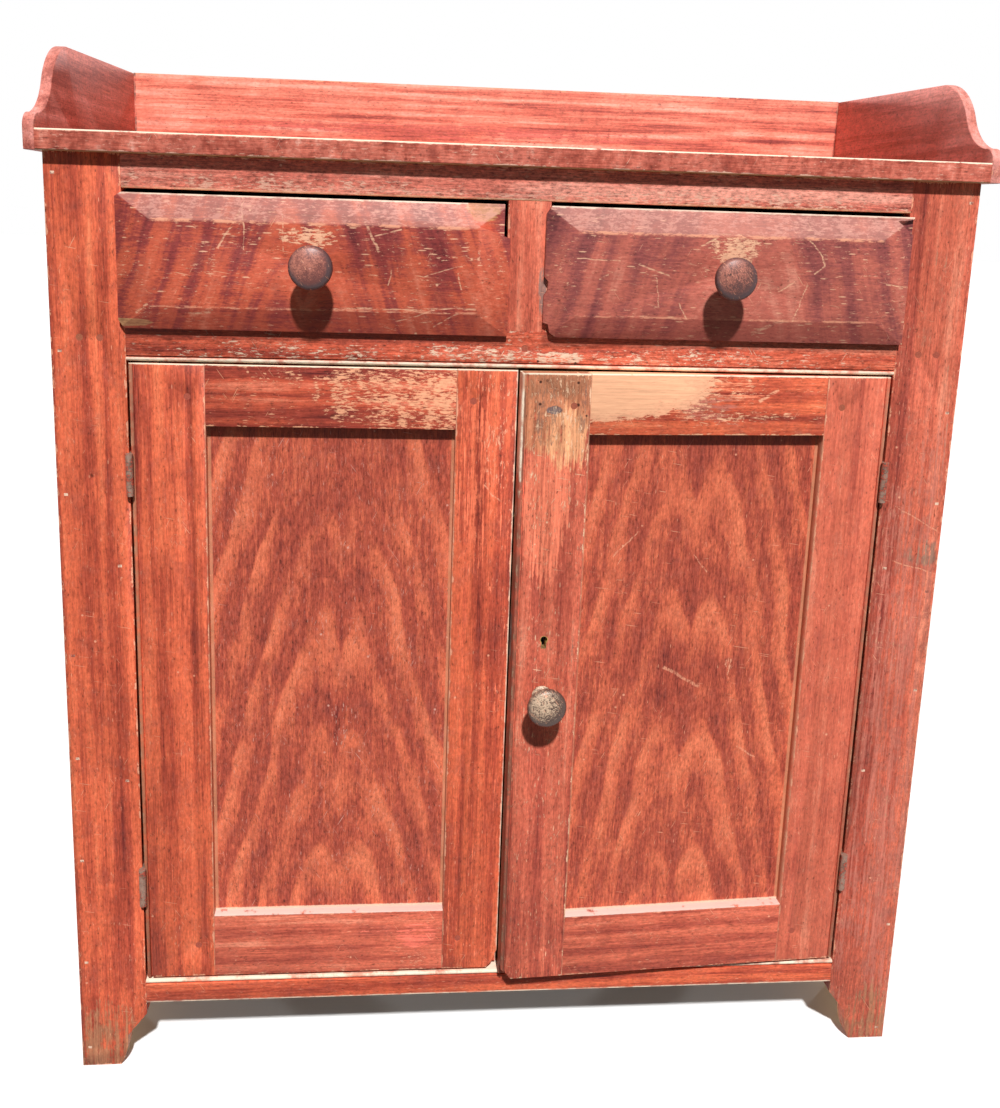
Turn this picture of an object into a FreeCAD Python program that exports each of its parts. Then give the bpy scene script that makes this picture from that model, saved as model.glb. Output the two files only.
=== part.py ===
import FreeCAD, Part
import math
import os

V = FreeCAD.Vector

# A two-door, two-drawer jelly cupboard in millimetres.
# X runs to the viewer's right, +Y to the back, +Z up; the floor is z = 0.
# Depths called y in the helpers are measured back from the face frame's front.

# ---- carcass -----------------------------------------------------------------
case_width = 1067.0
case_depth = 470.0            # face frame front to the back of the back boards
case_height = 1146.0          # floor to the underside of the top board
side_thickness = 20.0
arch_width = 236.0            # foot cut-out in each side plank
arch_height = 82.0
back_thickness = 15.0
back_count = 4
back_lap = 9.0                # half-lap between neighbouring back boards
back_gap = 0.6                # seasonal gap in that lap
back_lift = 104.0             # floor to the lower ends of the back boards
dado_depth = 7.0

# ---- top and gallery ---------------------------------------------------------
top_thickness = 23.0
top_overhang_front = 13.0
top_overhang_side = 3.5
top_arris = 2.2
gallery_height = 111.0        # above the top board's upper face
gallery_back_thickness = 20.0
gallery_side_thickness = 12.5
gallery_front_drop = 10.0     # how much lower the side's front shoulder is
gallery_nose_rise = 24.0      # straight front end of the side, from its lower edge

# ---- face frame --------------------------------------------------------------
frame_thickness = 23.0
stile_width = 82.0
foot_width = 48.0             # stile width at the floor
foot_ankle_width = 57.5
foot_ankle_height = 42.0
foot_cut_height = 73.0
top_rail_height = 37.0
drawer_opening_height = 149.0
mid_rail_height = 43.0
muntin_width = 49.0
muntin_offset = 2.5           # the muntin stands a little right of the middle
bottom_rail_height = 32.0
bottom_rail_lift = 89.0
frame_tenon_length = 60.0
frame_tenon_thickness = 8.0
frame_tenon_shoulder = 4.0
frame_peg_setbacks = (28.0, 50.5)   # from the opening's edge into the tenon
frame_peg_share = 0.6         # of the mid rail's height
muntin_tenon_length = 30.0
muntin_peg_drop = 19.5
bead_width = 5.0
quirk_width = 1.5
quirk_depth = 3.0

# ---- inside ------------------------------------------------------------------
shelf_thickness = 19.0
shelf_tops = {"lower": 408.0, "upper": 683.0}
cleat_size = 22.0
cleat_end_gap = 18.0
rear_rail_thickness = 22.0
runner_thickness = 25.0
runner_lap = 21.5             # how far a runner reaches under the drawer
guide_height = 25.0
guide_gap = 0.5               # guide face to the opening's edge

# ---- drawers -----------------------------------------------------------------
drawer_side_clearance = 2.5
drawer_shift = -1.5           # both drawers sit a little left in their openings
drawer_top_gap = 4.5
drawer_seat_gap = 0.3
drawer_lip_side = 4.0
drawer_lip_bottom = 5.0
drawer_lip_gap = 0.5
drawer_lip_edge = 6.5         # how far the lip's edge stands proud of the frame
drawer_field_proud = 13.0
drawer_bevel_end = 38.0
drawer_bevel_top = 28.5
drawer_bevel_bottom = 26.0
drawer_front_depth = 10.0     # part of the front that enters the opening
drawer_rear_gap = 13.0        # drawer back to the rear rail
drawer_side_thickness = 12.0
drawer_side_drop = 6.5        # side's upper edge below the front's
drawer_back_drop = 6.0        # back's upper edge below the side's
drawer_bottom_thickness = 7.0
drawer_bottom_lift = 9.5
groove_depth = 5.0
groove_play = 0.4
tail_length = 9.0
tail_width = 27.0
tail_flare = 1.8
front_tail_count = 3
rear_tail_count = 2
knob_offsets = {"left": -3.0, "right": -5.0}

# ---- knobs -------------------------------------------------------------------
drawer_knob_radius = 24.3
door_knob_radius = 23.7
knob_reach = 45.0
knob_shank_radius = 7.0
knob_shank_fit = 0.05
knob_neck_radius = 8.6
knob_flange_radius = 12.0
knob_cap_rise = 4.5

# ---- doors -------------------------------------------------------------------
door_thickness = 22.0
door_hinge_gap = 2.0
door_top_gap = 2.5
door_bottom_gap = 5.0
door_meeting_gap = 2.5
door_meeting_x = -2.75
door_hinge_stile = {"left": 85.0, "right": 80.0}
door_meeting_stile = {"left": 71.5, "right": 81.5}
door_top_rail = 72.0
door_bottom_rail = 85.0
panel_recess = 12.5
panel_thickness = 6.5
panel_groove = 9.0
panel_play = 1.0
panel_seat = 0.3
door_tenon_length = 48.0
door_tenon_shoulder = 12.0
peg_radius = 4.0
peg_setback = 20.0
door_ajar = 3.0               # degrees that the right door stands open

# ---- hinges ------------------------------------------------------------------
hinge_length = 50.0
hinge_end_setbacks = (130.0, 129.5)   # from the door's lower and upper ends
hinge_pin_proud = 4.5
hinge_barrel_radius = 4.2
hinge_pin_radius = 1.9
hinge_pin_fit = 0.08
hinge_knuckles = 5
hinge_knuckle_gap = 0.3
hinge_leaf_thickness = 1.7
hinge_leaf_gap = 0.3
hinge_leaf_depth = 16.0
hinge_screw_depth = 9.5
hinge_screw_spread = 30.0
screw_head_radius = 3.1
screw_shank_radius = 1.5
screw_length = 17.0
screw_point_length = 3.0

# ---- lock of the right door --------------------------------------------------
lock_height = 589.0
lock_keyhole_setback = 38.0   # from the door's meeting edge
door_knob_drop = 71.5         # keyhole to the knob below it
keyhole_radius = 4.25
keyhole_slot_width = 5.0
keyhole_slot_drop = 10.5
keyhole_liner = 0.8
lock_case_length = 62.0
lock_case_height = 54.0
lock_case_depth = 12.0
lock_wall = 1.5
lock_plate_margin = 8.0
lock_bolt_height = 16.0
lock_bolt_thickness = 5.0
lock_bolt_back = 4.0          # door back face to the bolt
lock_bolt_head = 27.0
lock_bolt_tail = 52.0
lock_tail_height = 6.0
lock_tail_lap = 2.0           # how deep the tail overlaps the head's upper edge
lock_tail_root = 6.0          # and how far along it
lock_bolt_fit = 0.3
lock_bolt_travel = 9.0
strike_play = 2.0

# ---- slide bolt inside the left door -----------------------------------------
catch_setback = 44.0          # from the meeting edge to the bolt's centre line
catch_plate_width = 24.0
catch_plate_height = 70.0
catch_plate_top_gap = 6.5
catch_plate_thickness = 1.5
catch_bar_width = 9.0
catch_bar_thickness = 4.0
catch_bar_length = 69.0
catch_bar_top_gap = 3.5
catch_fit = 0.3
staple_width = 18.0
staple_wall = 1.5
staple_height = 5.0
catch_pull_radius = 4.0
catch_pull_reach = 8.0
catch_pull_drop = 42.0        # bar's upper end to the finger pull
catch_pull_arris = 1.2

# ---- cut nails ---------------------------------------------------------------
nail_head = (4.6, 3.2)
nail_tip = (2.2, 1.4)
nail_length = 42.0
back_nail_length = 32.0
stile_nail_inset = 9.5
stile_nail_shares = {         # heights as shares of the case, hand-spaced
    "left": (0.023, 0.130, 0.254, 0.374, 0.490, 0.663, 0.809, 0.980),
    "right": (0.013, 0.151, 0.445, 0.561, 0.661, 0.761, 0.980),
}
shelf_nail_setback = 14.5     # from the opening's edge
top_nail_count = 3
top_nail_ends = 45.0
gallery_nail_count = 4
gallery_nail_ends = 35.0
gallery_end_nail_shares = (0.3, 0.75)   # heights as shares of the gallery
back_nail_inset = 30.0

# ---- derived places ----------------------------------------------------------
half_case = case_width / 2
half_inside = half_case - side_thickness
half_opening = half_case - stile_width
half_top = half_case + top_overhang_side
top_surface = case_height + top_thickness
gallery_top = top_surface + gallery_height
back_front = case_depth - back_thickness
rear_rail_front = back_front - rear_rail_thickness
drawer_rear = rear_rail_front - drawer_rear_gap
top_rear = case_depth - gallery_back_thickness
drawer_opening_top = case_height - top_rail_height
drawer_opening_floor = drawer_opening_top - drawer_opening_height
mid_rail_floor = drawer_opening_floor - mid_rail_height
bottom_rail_top = bottom_rail_lift + bottom_rail_height
muntin_left = muntin_offset - muntin_width / 2
muntin_right = muntin_offset + muntin_width / 2
drawer_openings = {"left": (-half_opening, muntin_left), "right": (muntin_right, half_opening)}
door_floor = bottom_rail_top + door_bottom_gap
door_top = mid_rail_floor - door_top_gap
door_edge = half_opening - door_hinge_gap
hinge_x = half_opening - door_hinge_gap / 2
hinge_centres = (door_floor + hinge_end_setbacks[0], door_top - hinge_end_setbacks[1])
door_free_x = {"left": door_meeting_x - door_meeting_gap / 2,
               "right": door_meeting_x + door_meeting_gap / 2}
door_width = {"left": door_edge + door_free_x["left"], "right": door_edge - door_free_x["right"]}
panel_floor = door_floor + door_bottom_rail
panel_top = door_top - door_top_rail
panel_back = panel_recess + panel_thickness
overrun = 1.0                 # cutting tools run this far past a face

# The origin is the bottom centre of the whole object, so the knobs that stand
# out in front decide how far back the face frame lies.
knob_swing = hinge_x - door_free_x["right"] - lock_keyhole_setback
ajar = math.radians(door_ajar)
door_knob_front = (hinge_pin_proud + knob_swing * math.sin(ajar)
                   + (knob_reach - hinge_pin_proud) * math.cos(ajar))
drawer_knob_front = drawer_field_proud + knob_reach
front_reach = max(door_knob_front, drawer_knob_front)
FACE = (front_reach - case_depth) / 2


# ---- shape helpers -----------------------------------------------------------
def box(x, y, z):
    """Block between two x, two y (back from the face) and two z values."""
    low = V(min(x), FACE + min(y), min(z))
    return Part.makeBox(abs(x[1] - x[0]), abs(y[1] - y[0]), abs(z[1] - z[0]), low)


def fuse(shapes):
    solid = shapes[0]
    for shape in shapes[1:]:
        solid = solid.fuse(shape)
    return solid.removeSplitter()


def cut(solid, tools):
    for tool in tools:
        solid = solid.cut(tool)
    return solid


def face_of(edges):
    return Part.Face(Part.Wire(edges))


def line(a, b):
    return Part.LineSegment(a, b).toShape()


def arc(a, middle, b):
    return Part.Arc(a, middle, b).toShape()


def polygon(points):
    return Part.Face(Part.makePolygon(points + points[:1]))


def front_prism(outline, y):
    """Prism with an outline of (x, z) points, between two depths."""
    points = [V(x, FACE + y[0], z) for x, z in outline]
    return polygon(points).extrude(V(0, y[1] - y[0], 0))


def mirrored(shape):
    return shape.mirror(V(0, 0, 0), V(1, 0, 0))


def turned_open(shape):
    """The right door's pieces, swung ajar about its hinge pins."""
    swung = shape.copy()
    swung.rotate(V(hinge_x, FACE - hinge_pin_proud, 0), V(0, 0, 1), door_ajar)
    return swung


def rounded(solid, radius, chosen):
    edges = [edge for edge in solid.Edges if chosen(edge.CenterOfMass)]
    return solid.makeFillet(radius, edges)


def beaded_face(place, width, thickness):
    """Board section whose edge at u = 0 carries a bead and quirk on its front."""
    r = bead_width / 2
    quirk_end = bead_width + quirk_width
    points = [place(bead_width, r), place(bead_width, quirk_depth),
              place(quirk_end, quirk_depth), place(quirk_end, 0), place(width, 0),
              place(width, thickness), place(0, thickness), place(0, r)]
    edges = [line(a, b) for a, b in zip(points, points[1:])]
    edges.append(arc(place(0, r), place(r, 0), place(bead_width, r)))
    return face_of(edges)


def nail(point, direction, length=nail_length):
    """Cut nail, flush at its head, driven from point along a unit direction."""
    side = V(direction.y, direction.z, direction.x)
    up = direction.cross(side)
    wires = []
    for size, depth in ((nail_head, 0.0), (nail_tip, length)):
        centre = point + direction * depth
        corners = [centre + side * (a * size[0] / 2) + up * (b * size[1] / 2)
                   for a, b in ((-1, -1), (1, -1), (1, 1), (-1, 1))]
        wires.append(Part.makePolygon(corners + corners[:1]))
    return Part.makeLoft(wires, True, True)


def peg(x, z, depth):
    return Part.makeCylinder(peg_radius, depth, V(x, FACE, z), V(0, 1, 0))


def spread(first, last, count):
    return [first + (last - first) * i / (count - 1) for i in range(count)]


# ---- top, gallery and back ---------------------------------------------------
def make_top():
    board = box((-half_top, half_top), (-top_overhang_front, top_rear), (case_height, top_surface))
    front = FACE - top_overhang_front
    return rounded(board, top_arris, lambda c: abs(c.y - front) < 0.01 and abs(c.x) < 1.0)


def make_gallery_side():
    """Left gallery board: a rounded nose, an ogee and a straight upper edge."""
    def at(y, z):
        return V(-half_top - gallery_side_thickness, FACE + y, z)

    nose = -top_overhang_front
    shoulder_z = gallery_top - gallery_front_drop
    rise = shoulder_z - top_surface
    nose_top = at(nose, case_height + gallery_nose_rise)
    nose_end = at(nose + 0.20 * rise, top_surface + 0.17 * rise)
    waist = at(nose + 0.70 * rise, top_surface + 0.56 * rise)
    shoulder = at(nose + 1.30 * rise, shoulder_z)
    edges = [
        line(at(case_depth, case_height), at(nose, case_height)),
        line(at(nose, case_height), nose_top),
        arc(nose_top, at(nose + 0.045 * rise, top_surface + 0.115 * rise), nose_end),
        arc(nose_end, at(nose + 0.515 * rise, top_surface + 0.315 * rise), waist),
        arc(waist, at(nose + 0.955 * rise, top_surface + 0.86 * rise), shoulder),
        line(shoulder, at(case_depth, gallery_top)),
        line(at(case_depth, gallery_top), at(case_depth, case_height)),
    ]
    return face_of(edges).extrude(V(gallery_side_thickness, 0, 0))


def make_gallery_back():
    return box((-half_top, half_top), (top_rear, case_depth), (case_height, gallery_top))


def make_back_boards():
    """Vertical boards with half-lapped edges, nailed across the back."""
    width = case_width / back_count
    middle = back_front + back_thickness / 2
    z = (back_lift, case_height)
    boards = []
    for i in range(back_count):
        first = i == 0
        last = i == back_count - 1
        low = -half_case + i * width
        high = low + width
        inner = (low if first else low + back_gap / 2, high if last else high - back_gap / 2)
        outer = (low if first else low + back_lap + back_gap, high if last else high + back_lap)
        boards.append(fuse([box(inner, (back_front, middle), z), box(outer, (middle, case_depth), z)]))
    return boards


# ---- face frame --------------------------------------------------------------
def make_stile():
    """Left stile, running to the floor in a shaped foot."""
    outer = -half_case

    def at(width, z):
        return V(outer + width, FACE, z)

    ankle = at(foot_ankle_width, foot_ankle_height)
    heel = at(foot_width, 0)
    swell = at(foot_width + 0.78 * (foot_ankle_width - foot_width), 0.45 * foot_ankle_height)
    edges = [
        line(at(0, case_height), at(0, 0)),
        line(at(0, 0), heel),
        arc(heel, swell, ankle),
        line(ankle, at(stile_width, foot_cut_height)),
        line(at(stile_width, foot_cut_height), at(stile_width, case_height)),
        line(at(stile_width, case_height), at(0, case_height)),
    ]
    return face_of(edges).extrude(V(0, frame_thickness, 0))


def frame_tenons(z):
    """Blind tenons at both ends of a rail between two heights."""
    y0 = (frame_thickness - frame_tenon_thickness) / 2
    span = (z[0] + frame_tenon_shoulder, z[1] - frame_tenon_shoulder)
    return [box((side * half_opening, side * (half_opening + frame_tenon_length)),
                (y0, y0 + frame_tenon_thickness), span) for side in (-1, 1)]


def muntin_tenons():
    y0 = (frame_thickness - frame_tenon_thickness) / 2
    x = (muntin_left + frame_tenon_shoulder, muntin_right - frame_tenon_shoulder)
    y = (y0, y0 + frame_tenon_thickness)
    return [box(x, y, (drawer_opening_floor - muntin_tenon_length, drawer_opening_floor)),
            box(x, y, (drawer_opening_top, drawer_opening_top + muntin_tenon_length))]


def beaded_rail(beaded_z, plain_z):
    """Rail between the stiles with a bead along one edge, next to the doors."""
    heading = 1 if plain_z > beaded_z else -1

    def place(u, v):
        return V(-half_opening, FACE + v, beaded_z + heading * u)

    section = beaded_face(place, abs(plain_z - beaded_z), frame_thickness)
    return section.extrude(V(2 * half_opening, 0, 0))


def frame_peg_places():
    """Peg centres: two in each end of the mid rail's tenons and one under the muntin."""
    z = mid_rail_floor + frame_peg_share * mid_rail_height
    places = [(side * (half_opening + setback), z) for side in (-1, 1) for setback in frame_peg_setbacks]
    places.append((muntin_offset, drawer_opening_floor - muntin_peg_drop))
    return places


def make_face_frame():
    top_z = (drawer_opening_top, case_height)
    mid_z = (mid_rail_floor, drawer_opening_floor)
    bottom_z = (bottom_rail_lift, bottom_rail_top)
    rails = {
        "top_rail": (box((-half_opening, half_opening), (0, frame_thickness), top_z), top_z),
        "mid_rail": (beaded_rail(mid_rail_floor, drawer_opening_floor), mid_z),
        "bottom_rail": (beaded_rail(bottom_rail_top, bottom_rail_lift), bottom_z),
    }
    frame = {}
    tenons = []
    for name, (body, z) in rails.items():
        ends = frame_tenons(z)
        tenons += ends
        frame[name] = fuse([body] + ends)
    stubs = muntin_tenons()
    muntin = box((muntin_left, muntin_right), (0, frame_thickness),
                 (drawer_opening_floor, drawer_opening_top))
    frame["drawer_muntin"] = fuse([muntin] + stubs)
    frame["mid_rail"] = cut(frame["mid_rail"], stubs[:1])
    frame["top_rail"] = cut(frame["top_rail"], stubs[1:])
    stile = make_stile()
    frame["stile_left"] = cut(stile, tenons[0::2])
    frame["stile_right"] = cut(mirrored(stile), tenons[1::2])
    pegs = [peg(x, z, frame_thickness) for x, z in frame_peg_places()]
    for name in ("mid_rail", "stile_left", "stile_right", "drawer_muntin"):
        frame[name] = cut(frame[name], pegs)
    frame["frame_pegs"] = Part.makeCompound(pegs)
    return frame


# ---- carcass inside ----------------------------------------------------------
def make_bottom_board():
    reach = half_inside + dado_depth
    return box((-reach, reach), (frame_thickness, back_front),
               (bottom_rail_top - shelf_thickness, bottom_rail_top))


def make_side(bottom_board):
    """Left side plank with an arched foot cut-out and a dado for the bottom board."""
    plank = box((-half_case, -half_inside), (frame_thickness, back_front), (0, case_height))
    middle = (frame_thickness + back_front) / 2

    def at(y, z):
        return V(-half_case - overrun, FACE + y, z)

    left = at(middle - arch_width / 2, 0)
    right = at(middle + arch_width / 2, 0)
    arch = face_of([arc(left, at(middle, arch_height), right), line(right, left)])
    arch = arch.extrude(V(side_thickness + 2 * overrun, 0, 0))
    return cut(plank, [arch, bottom_board])


def make_shelves():
    shelves = {}
    cleats = []
    for name, top in shelf_tops.items():
        floor = top - shelf_thickness
        shelves["shelf_" + name] = box((-half_inside, half_inside),
                                       (frame_thickness, back_front), (floor, top))
        for side in (-1, 1):
            cleats.append(box((side * half_inside, side * (half_inside - cleat_size)),
                              (frame_thickness + cleat_end_gap, back_front - cleat_end_gap),
                              (floor - cleat_size, floor)))
    shelves["shelf_cleats"] = Part.makeCompound(cleats)
    return shelves


def make_drawer_bearers():
    """Runners with guides under the drawers, kickers above, and their rear rail."""
    y = (frame_thickness, rear_rail_front)
    floor = drawer_opening_floor
    spans = [((-half_inside, -half_opening + runner_lap), (-half_inside, -half_opening - guide_gap)),
             ((muntin_left - runner_lap, muntin_right + runner_lap),
              (muntin_left + guide_gap, muntin_right - guide_gap)),
             ((half_opening - runner_lap, half_inside), (half_opening + guide_gap, half_inside))]
    runners = []
    kickers = []
    for runner_x, guide_x in spans:
        runners.append(fuse([box(runner_x, y, (floor - runner_thickness, floor)),
                             box(guide_x, y, (floor, floor + guide_height))]))
        kickers.append(box(runner_x, y, (drawer_opening_top, case_height)))
    rear = box((-half_inside, half_inside), (rear_rail_front, back_front), (mid_rail_floor, floor))
    return {"drawer_runners": Part.makeCompound(runners),
            "drawer_kickers": Part.makeCompound(kickers), "rear_rail": rear}


# ---- knobs -------------------------------------------------------------------
def make_knob(x, z, face_y, radius, shank):
    """Turned mushroom knob on a shank; face_y is the surface that it stands on."""
    def at(r, s):
        return V(x + r, FACE + face_y - s, z)

    crown_radius = 0.86 * radius
    dome_radius = (crown_radius ** 2 + knob_cap_rise ** 2) / (2 * knob_cap_rise)
    half_angle = math.asin(crown_radius / dome_radius) / 2
    flange = at(knob_flange_radius, 0)
    flange_top = at(knob_flange_radius - 0.8, 0.075 * knob_reach)
    neck = at(knob_neck_radius, 0.26 * knob_reach)
    rim_low = at(0.92 * radius, 0.66 * knob_reach)
    rim = at(radius, 0.77 * knob_reach)
    rim_high = at(crown_radius, knob_reach - knob_cap_rise)
    crown = at(dome_radius * math.sin(half_angle),
               knob_reach - dome_radius * (1 - math.cos(half_angle)))
    edges = [
        line(at(0, -shank), at(knob_shank_radius, -shank)),
        line(at(knob_shank_radius, -shank), at(knob_shank_radius, 0)),
        line(at(knob_shank_radius, 0), flange),
        arc(flange, at(knob_flange_radius + 0.5, 0.04 * knob_reach), flange_top),
        arc(flange_top, at(knob_neck_radius + 0.7, 0.13 * knob_reach), neck),
        arc(neck, at(knob_neck_radius + 0.26 * radius, 0.52 * knob_reach), rim_low),
        arc(rim_low, rim, rim_high),
        arc(rim_high, crown, at(0, knob_reach)),
        line(at(0, knob_reach), at(0, -shank)),
    ]
    return face_of(edges).revolve(V(x, FACE, z), V(0, 1, 0), 360)


def knob_hole(x, z, y):
    return Part.makeCylinder(knob_shank_radius + knob_shank_fit, y[1] - y[0],
                             V(x, FACE + y[0], z), V(0, 1, 0))


# ---- drawers -----------------------------------------------------------------
def tails(x, y, z, count):
    """Dovetail tails between two depths, widest at the second depth."""
    pitch = (z[1] - z[0]) / count
    solids = []
    for i in range(count):
        centre = z[0] + (i + 0.5) * pitch
        base = tail_width / 2
        tip = base + tail_flare
        points = [V(x[0], FACE + y[0], centre - base), V(x[0], FACE + y[1], centre - tip),
                  V(x[0], FACE + y[1], centre + tip), V(x[0], FACE + y[0], centre + base)]
        solids.append(polygon(points).extrude(V(x[1] - x[0], 0, 0)))
    return solids


def make_raised_front(x, z, lip_x, lip_z):
    """Lipped drawer front whose wide bevels leave a flat raised field."""
    rear = box(x, (-drawer_lip_gap, drawer_front_depth), z)
    lip = box(lip_x, (-drawer_lip_edge, -drawer_lip_gap), lip_z)
    rings = []
    field_x = (lip_x[0] + drawer_bevel_end, lip_x[1] - drawer_bevel_end)
    field_z = (lip_z[0] + drawer_bevel_bottom, lip_z[1] - drawer_bevel_top)
    for span_x, span_z, proud in ((lip_x, lip_z, drawer_lip_edge),
                                  (field_x, field_z, drawer_field_proud)):
        corners = [V(span_x[a], FACE - proud, span_z[b]) for a, b in ((0, 0), (1, 0), (1, 1), (0, 1))]
        rings.append(Part.makePolygon(corners + corners[:1]))
    bevels = Part.makeLoft(rings, True, True)
    return fuse([rear, lip, bevels])


def broken_lips(hand, lip_x, lip_z):
    """Old breaks in the lips, as cutting prisms placed from the lip's corners."""
    left, right = lip_x
    low, high = lip_z
    out = drawer_field_proud + overrun
    past = 2 * overrun
    through = (-out, 0)
    shallow = (-out, -drawer_lip_edge / 2)
    if hand == "left":
        return [
            front_prism([(right - 50, high + past), (right - 46, high - 9), (right - 41, high - 24),
                         (right - 20, high - 31), (right + past, high - 39),
                         (right + past, high + past)], through),
            front_prism([(left - past, high + past), (left + 10, high + past), (left - past, high - 6)],
                        through),
            front_prism([(left - past, low + 12), (left + 8, low - past), (left - past, low - past)],
                        through),
        ]
    return [
        front_prism([(left - past, high + past), (left + 7.5, high + past), (left - past, high - 12)],
                    through),
        front_prism([(left - past, low + 72), (left + 4.5, low + 64), (left + 4, low + 54),
                     (left - past, low + 44)], through),
        front_prism([(left - past, low + 17), (left + 6, low + 15), (left + 8, low + 5),
                     (left + 18, low - past), (left - past, low - past)], through),
        front_prism([(right - 20, high - 5), (right + past, high - 3), (right + past, high - 21),
                     (right - 3, high - 19)], shallow),
    ]


def make_drawer(hand):
    prefix = "drawer_" + hand + "_"
    opening = drawer_openings[hand]
    x = (opening[0] + drawer_side_clearance + drawer_shift,
         opening[1] - drawer_side_clearance + drawer_shift)
    z = (drawer_opening_floor + drawer_seat_gap, drawer_opening_top - drawer_top_gap)
    lip_x = (opening[0] - drawer_lip_side + drawer_shift, opening[1] + drawer_lip_side + drawer_shift)
    lip_z = (drawer_opening_floor - drawer_lip_bottom, z[1])
    side_z = (z[0], z[1] - drawer_side_drop)
    rear = drawer_rear
    back_y = (rear - drawer_side_thickness, rear)
    floor = z[0] + drawer_bottom_lift
    back_z = (floor + drawer_bottom_thickness, side_z[1] - drawer_back_drop)
    side_spans = ((x[0], x[0] + drawer_side_thickness), (x[1] - drawer_side_thickness, x[1]))
    inner = (side_spans[0][1] - groove_depth, side_spans[1][0] + groove_depth)
    groove = box(inner, (drawer_front_depth - groove_depth, rear + overrun),
                 (floor, floor + drawer_bottom_thickness))

    front_tails = []
    rear_tails = []
    for span in side_spans:
        front_tails.append(tails(span, (drawer_front_depth, drawer_front_depth - tail_length),
                                 side_z, front_tail_count))
        rear_tails += tails(span, back_y, back_z, rear_tail_count)

    back = cut(box(x, back_y, back_z), rear_tails)
    sides = [cut(fuse([box(span, (drawer_front_depth, rear), side_z)] + front_tails[i]), [back, groove])
             for i, span in enumerate(side_spans)]

    centre_x = (lip_x[0] + lip_x[1]) / 2 + knob_offsets[hand]
    centre_z = (lip_z[0] + lip_z[1]) / 2
    front = make_raised_front(x, z, lip_x, lip_z)
    front = cut(front, front_tails[0] + front_tails[1] + [groove] + broken_lips(hand, lip_x, lip_z))
    front = cut(front, [knob_hole(centre_x, centre_z, (-drawer_field_proud - overrun,
                                                       drawer_front_depth + overrun))])
    bottom = box((inner[0] + groove_play, inner[1] - groove_play),
                 (drawer_front_depth - groove_depth + groove_play, rear),
                 (floor, floor + drawer_bottom_thickness))
    knob = make_knob(centre_x, centre_z, -drawer_field_proud, drawer_knob_radius,
                     drawer_field_proud + drawer_front_depth)
    return {prefix + "front": front, prefix + "side_left": sides[0], prefix + "side_right": sides[1],
            prefix + "back": back, prefix + "bottom": bottom, prefix + "knob": knob}


# ---- hinges ------------------------------------------------------------------
def make_screw(x, y, z, heading):
    """Countersunk screw, its head flush at x and its point along heading (+1 or -1)."""
    def at(r, s):
        return V(x + heading * s, FACE + y, z + r)

    points = [at(0, 0), at(screw_head_radius, 0), at(screw_shank_radius, hinge_leaf_thickness),
              at(screw_shank_radius, screw_length - screw_point_length), at(0, screw_length)]
    return polygon(points).revolve(V(x, FACE + y, z), V(1, 0, 0), 360)


def make_leaf(pin_x, centre, heading, own):
    """Butt-hinge leaf on the heading (+1 or -1) side of the pin, with its own knuckles."""
    near = pin_x + heading * hinge_leaf_gap / 2
    far = near + heading * hinge_leaf_thickness
    low = centre - hinge_length / 2
    pitch = hinge_length / hinge_knuckles
    start = hinge_leaf_gap
    plate = box((near, far), (start, hinge_leaf_depth), (low, low + hinge_length))
    pieces = [plate]
    bore_radius = hinge_pin_radius + hinge_pin_fit
    axis_point = V(pin_x, FACE - hinge_pin_proud, low - overrun)
    bore = Part.makeCylinder(bore_radius, hinge_length + 2 * overrun, axis_point)
    for i in range(hinge_knuckles):
        if i % 2 != own:
            continue
        z = (low + i * pitch + (hinge_knuckle_gap / 2 if i else 0),
             low + (i + 1) * pitch - (hinge_knuckle_gap / 2 if i < hinge_knuckles - 1 else 0))
        barrel = Part.makeCylinder(hinge_barrel_radius, z[1] - z[0],
                                   V(pin_x, FACE - hinge_pin_proud, z[0]))
        tab = box((near, far), (-hinge_pin_proud + bore_radius, start), z)
        pieces += [barrel, tab]
    return fuse(pieces).cut(bore)


def make_hinges(hand):
    """Leaves, pins and screws of one door's two hinges, in the closed position."""
    side = -1 if hand == "left" else 1
    pin_x = side * hinge_x
    parts = {"frame": [], "door": [], "pins": [], "frame_screws": [], "door_screws": []}
    for centre in hinge_centres:
        for group, heading, own in (("frame", side, 0), ("door", -side, 1)):
            screws = [make_screw(pin_x + heading * hinge_leaf_gap / 2, hinge_screw_depth,
                                 centre + offset, heading)
                      for offset in (-hinge_screw_spread / 2, hinge_screw_spread / 2)]
            parts[group].append(cut(make_leaf(pin_x, centre, heading, own), screws))
            parts[group + "_screws"] += screws
        parts["pins"].append(Part.makeCylinder(hinge_pin_radius, hinge_length,
                                               V(pin_x, FACE - hinge_pin_proud,
                                                 centre - hinge_length / 2)))
    return parts


def leaf_beds(hand):
    """Shallow mortises for the leaves: first in the frame, then in the door."""
    side = -1 if hand == "left" else 1
    reach = hinge_leaf_gap / 2 + hinge_leaf_thickness
    beds = []
    for heading in (side, -side):
        x = (side * hinge_x, side * hinge_x + heading * reach)
        beds.append([box(x, (-overrun, hinge_leaf_depth), (c - hinge_length / 2, c + hinge_length / 2))
                     for c in hinge_centres])
    return beds


# ---- doors -------------------------------------------------------------------
def door_x(hand, u):
    """x at a distance u from the hinge edge towards the meeting edge."""
    return -door_edge + u if hand == "left" else door_edge - u


def door_stile(hand, u, beaded_from):
    """Stile between two distances from the hinge edge; beaded_from is its beaded edge, or None."""
    if beaded_from is None:
        return box((door_x(hand, u[0]), door_x(hand, u[1])), (0, door_thickness), (door_floor, door_top))
    heading = 1 if beaded_from == u[0] else -1

    def place(across, v):
        return V(door_x(hand, beaded_from + heading * across), FACE + v, door_floor)

    section = beaded_face(place, u[1] - u[0], door_thickness)
    return section.extrude(V(0, 0, door_top - door_floor))


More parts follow.
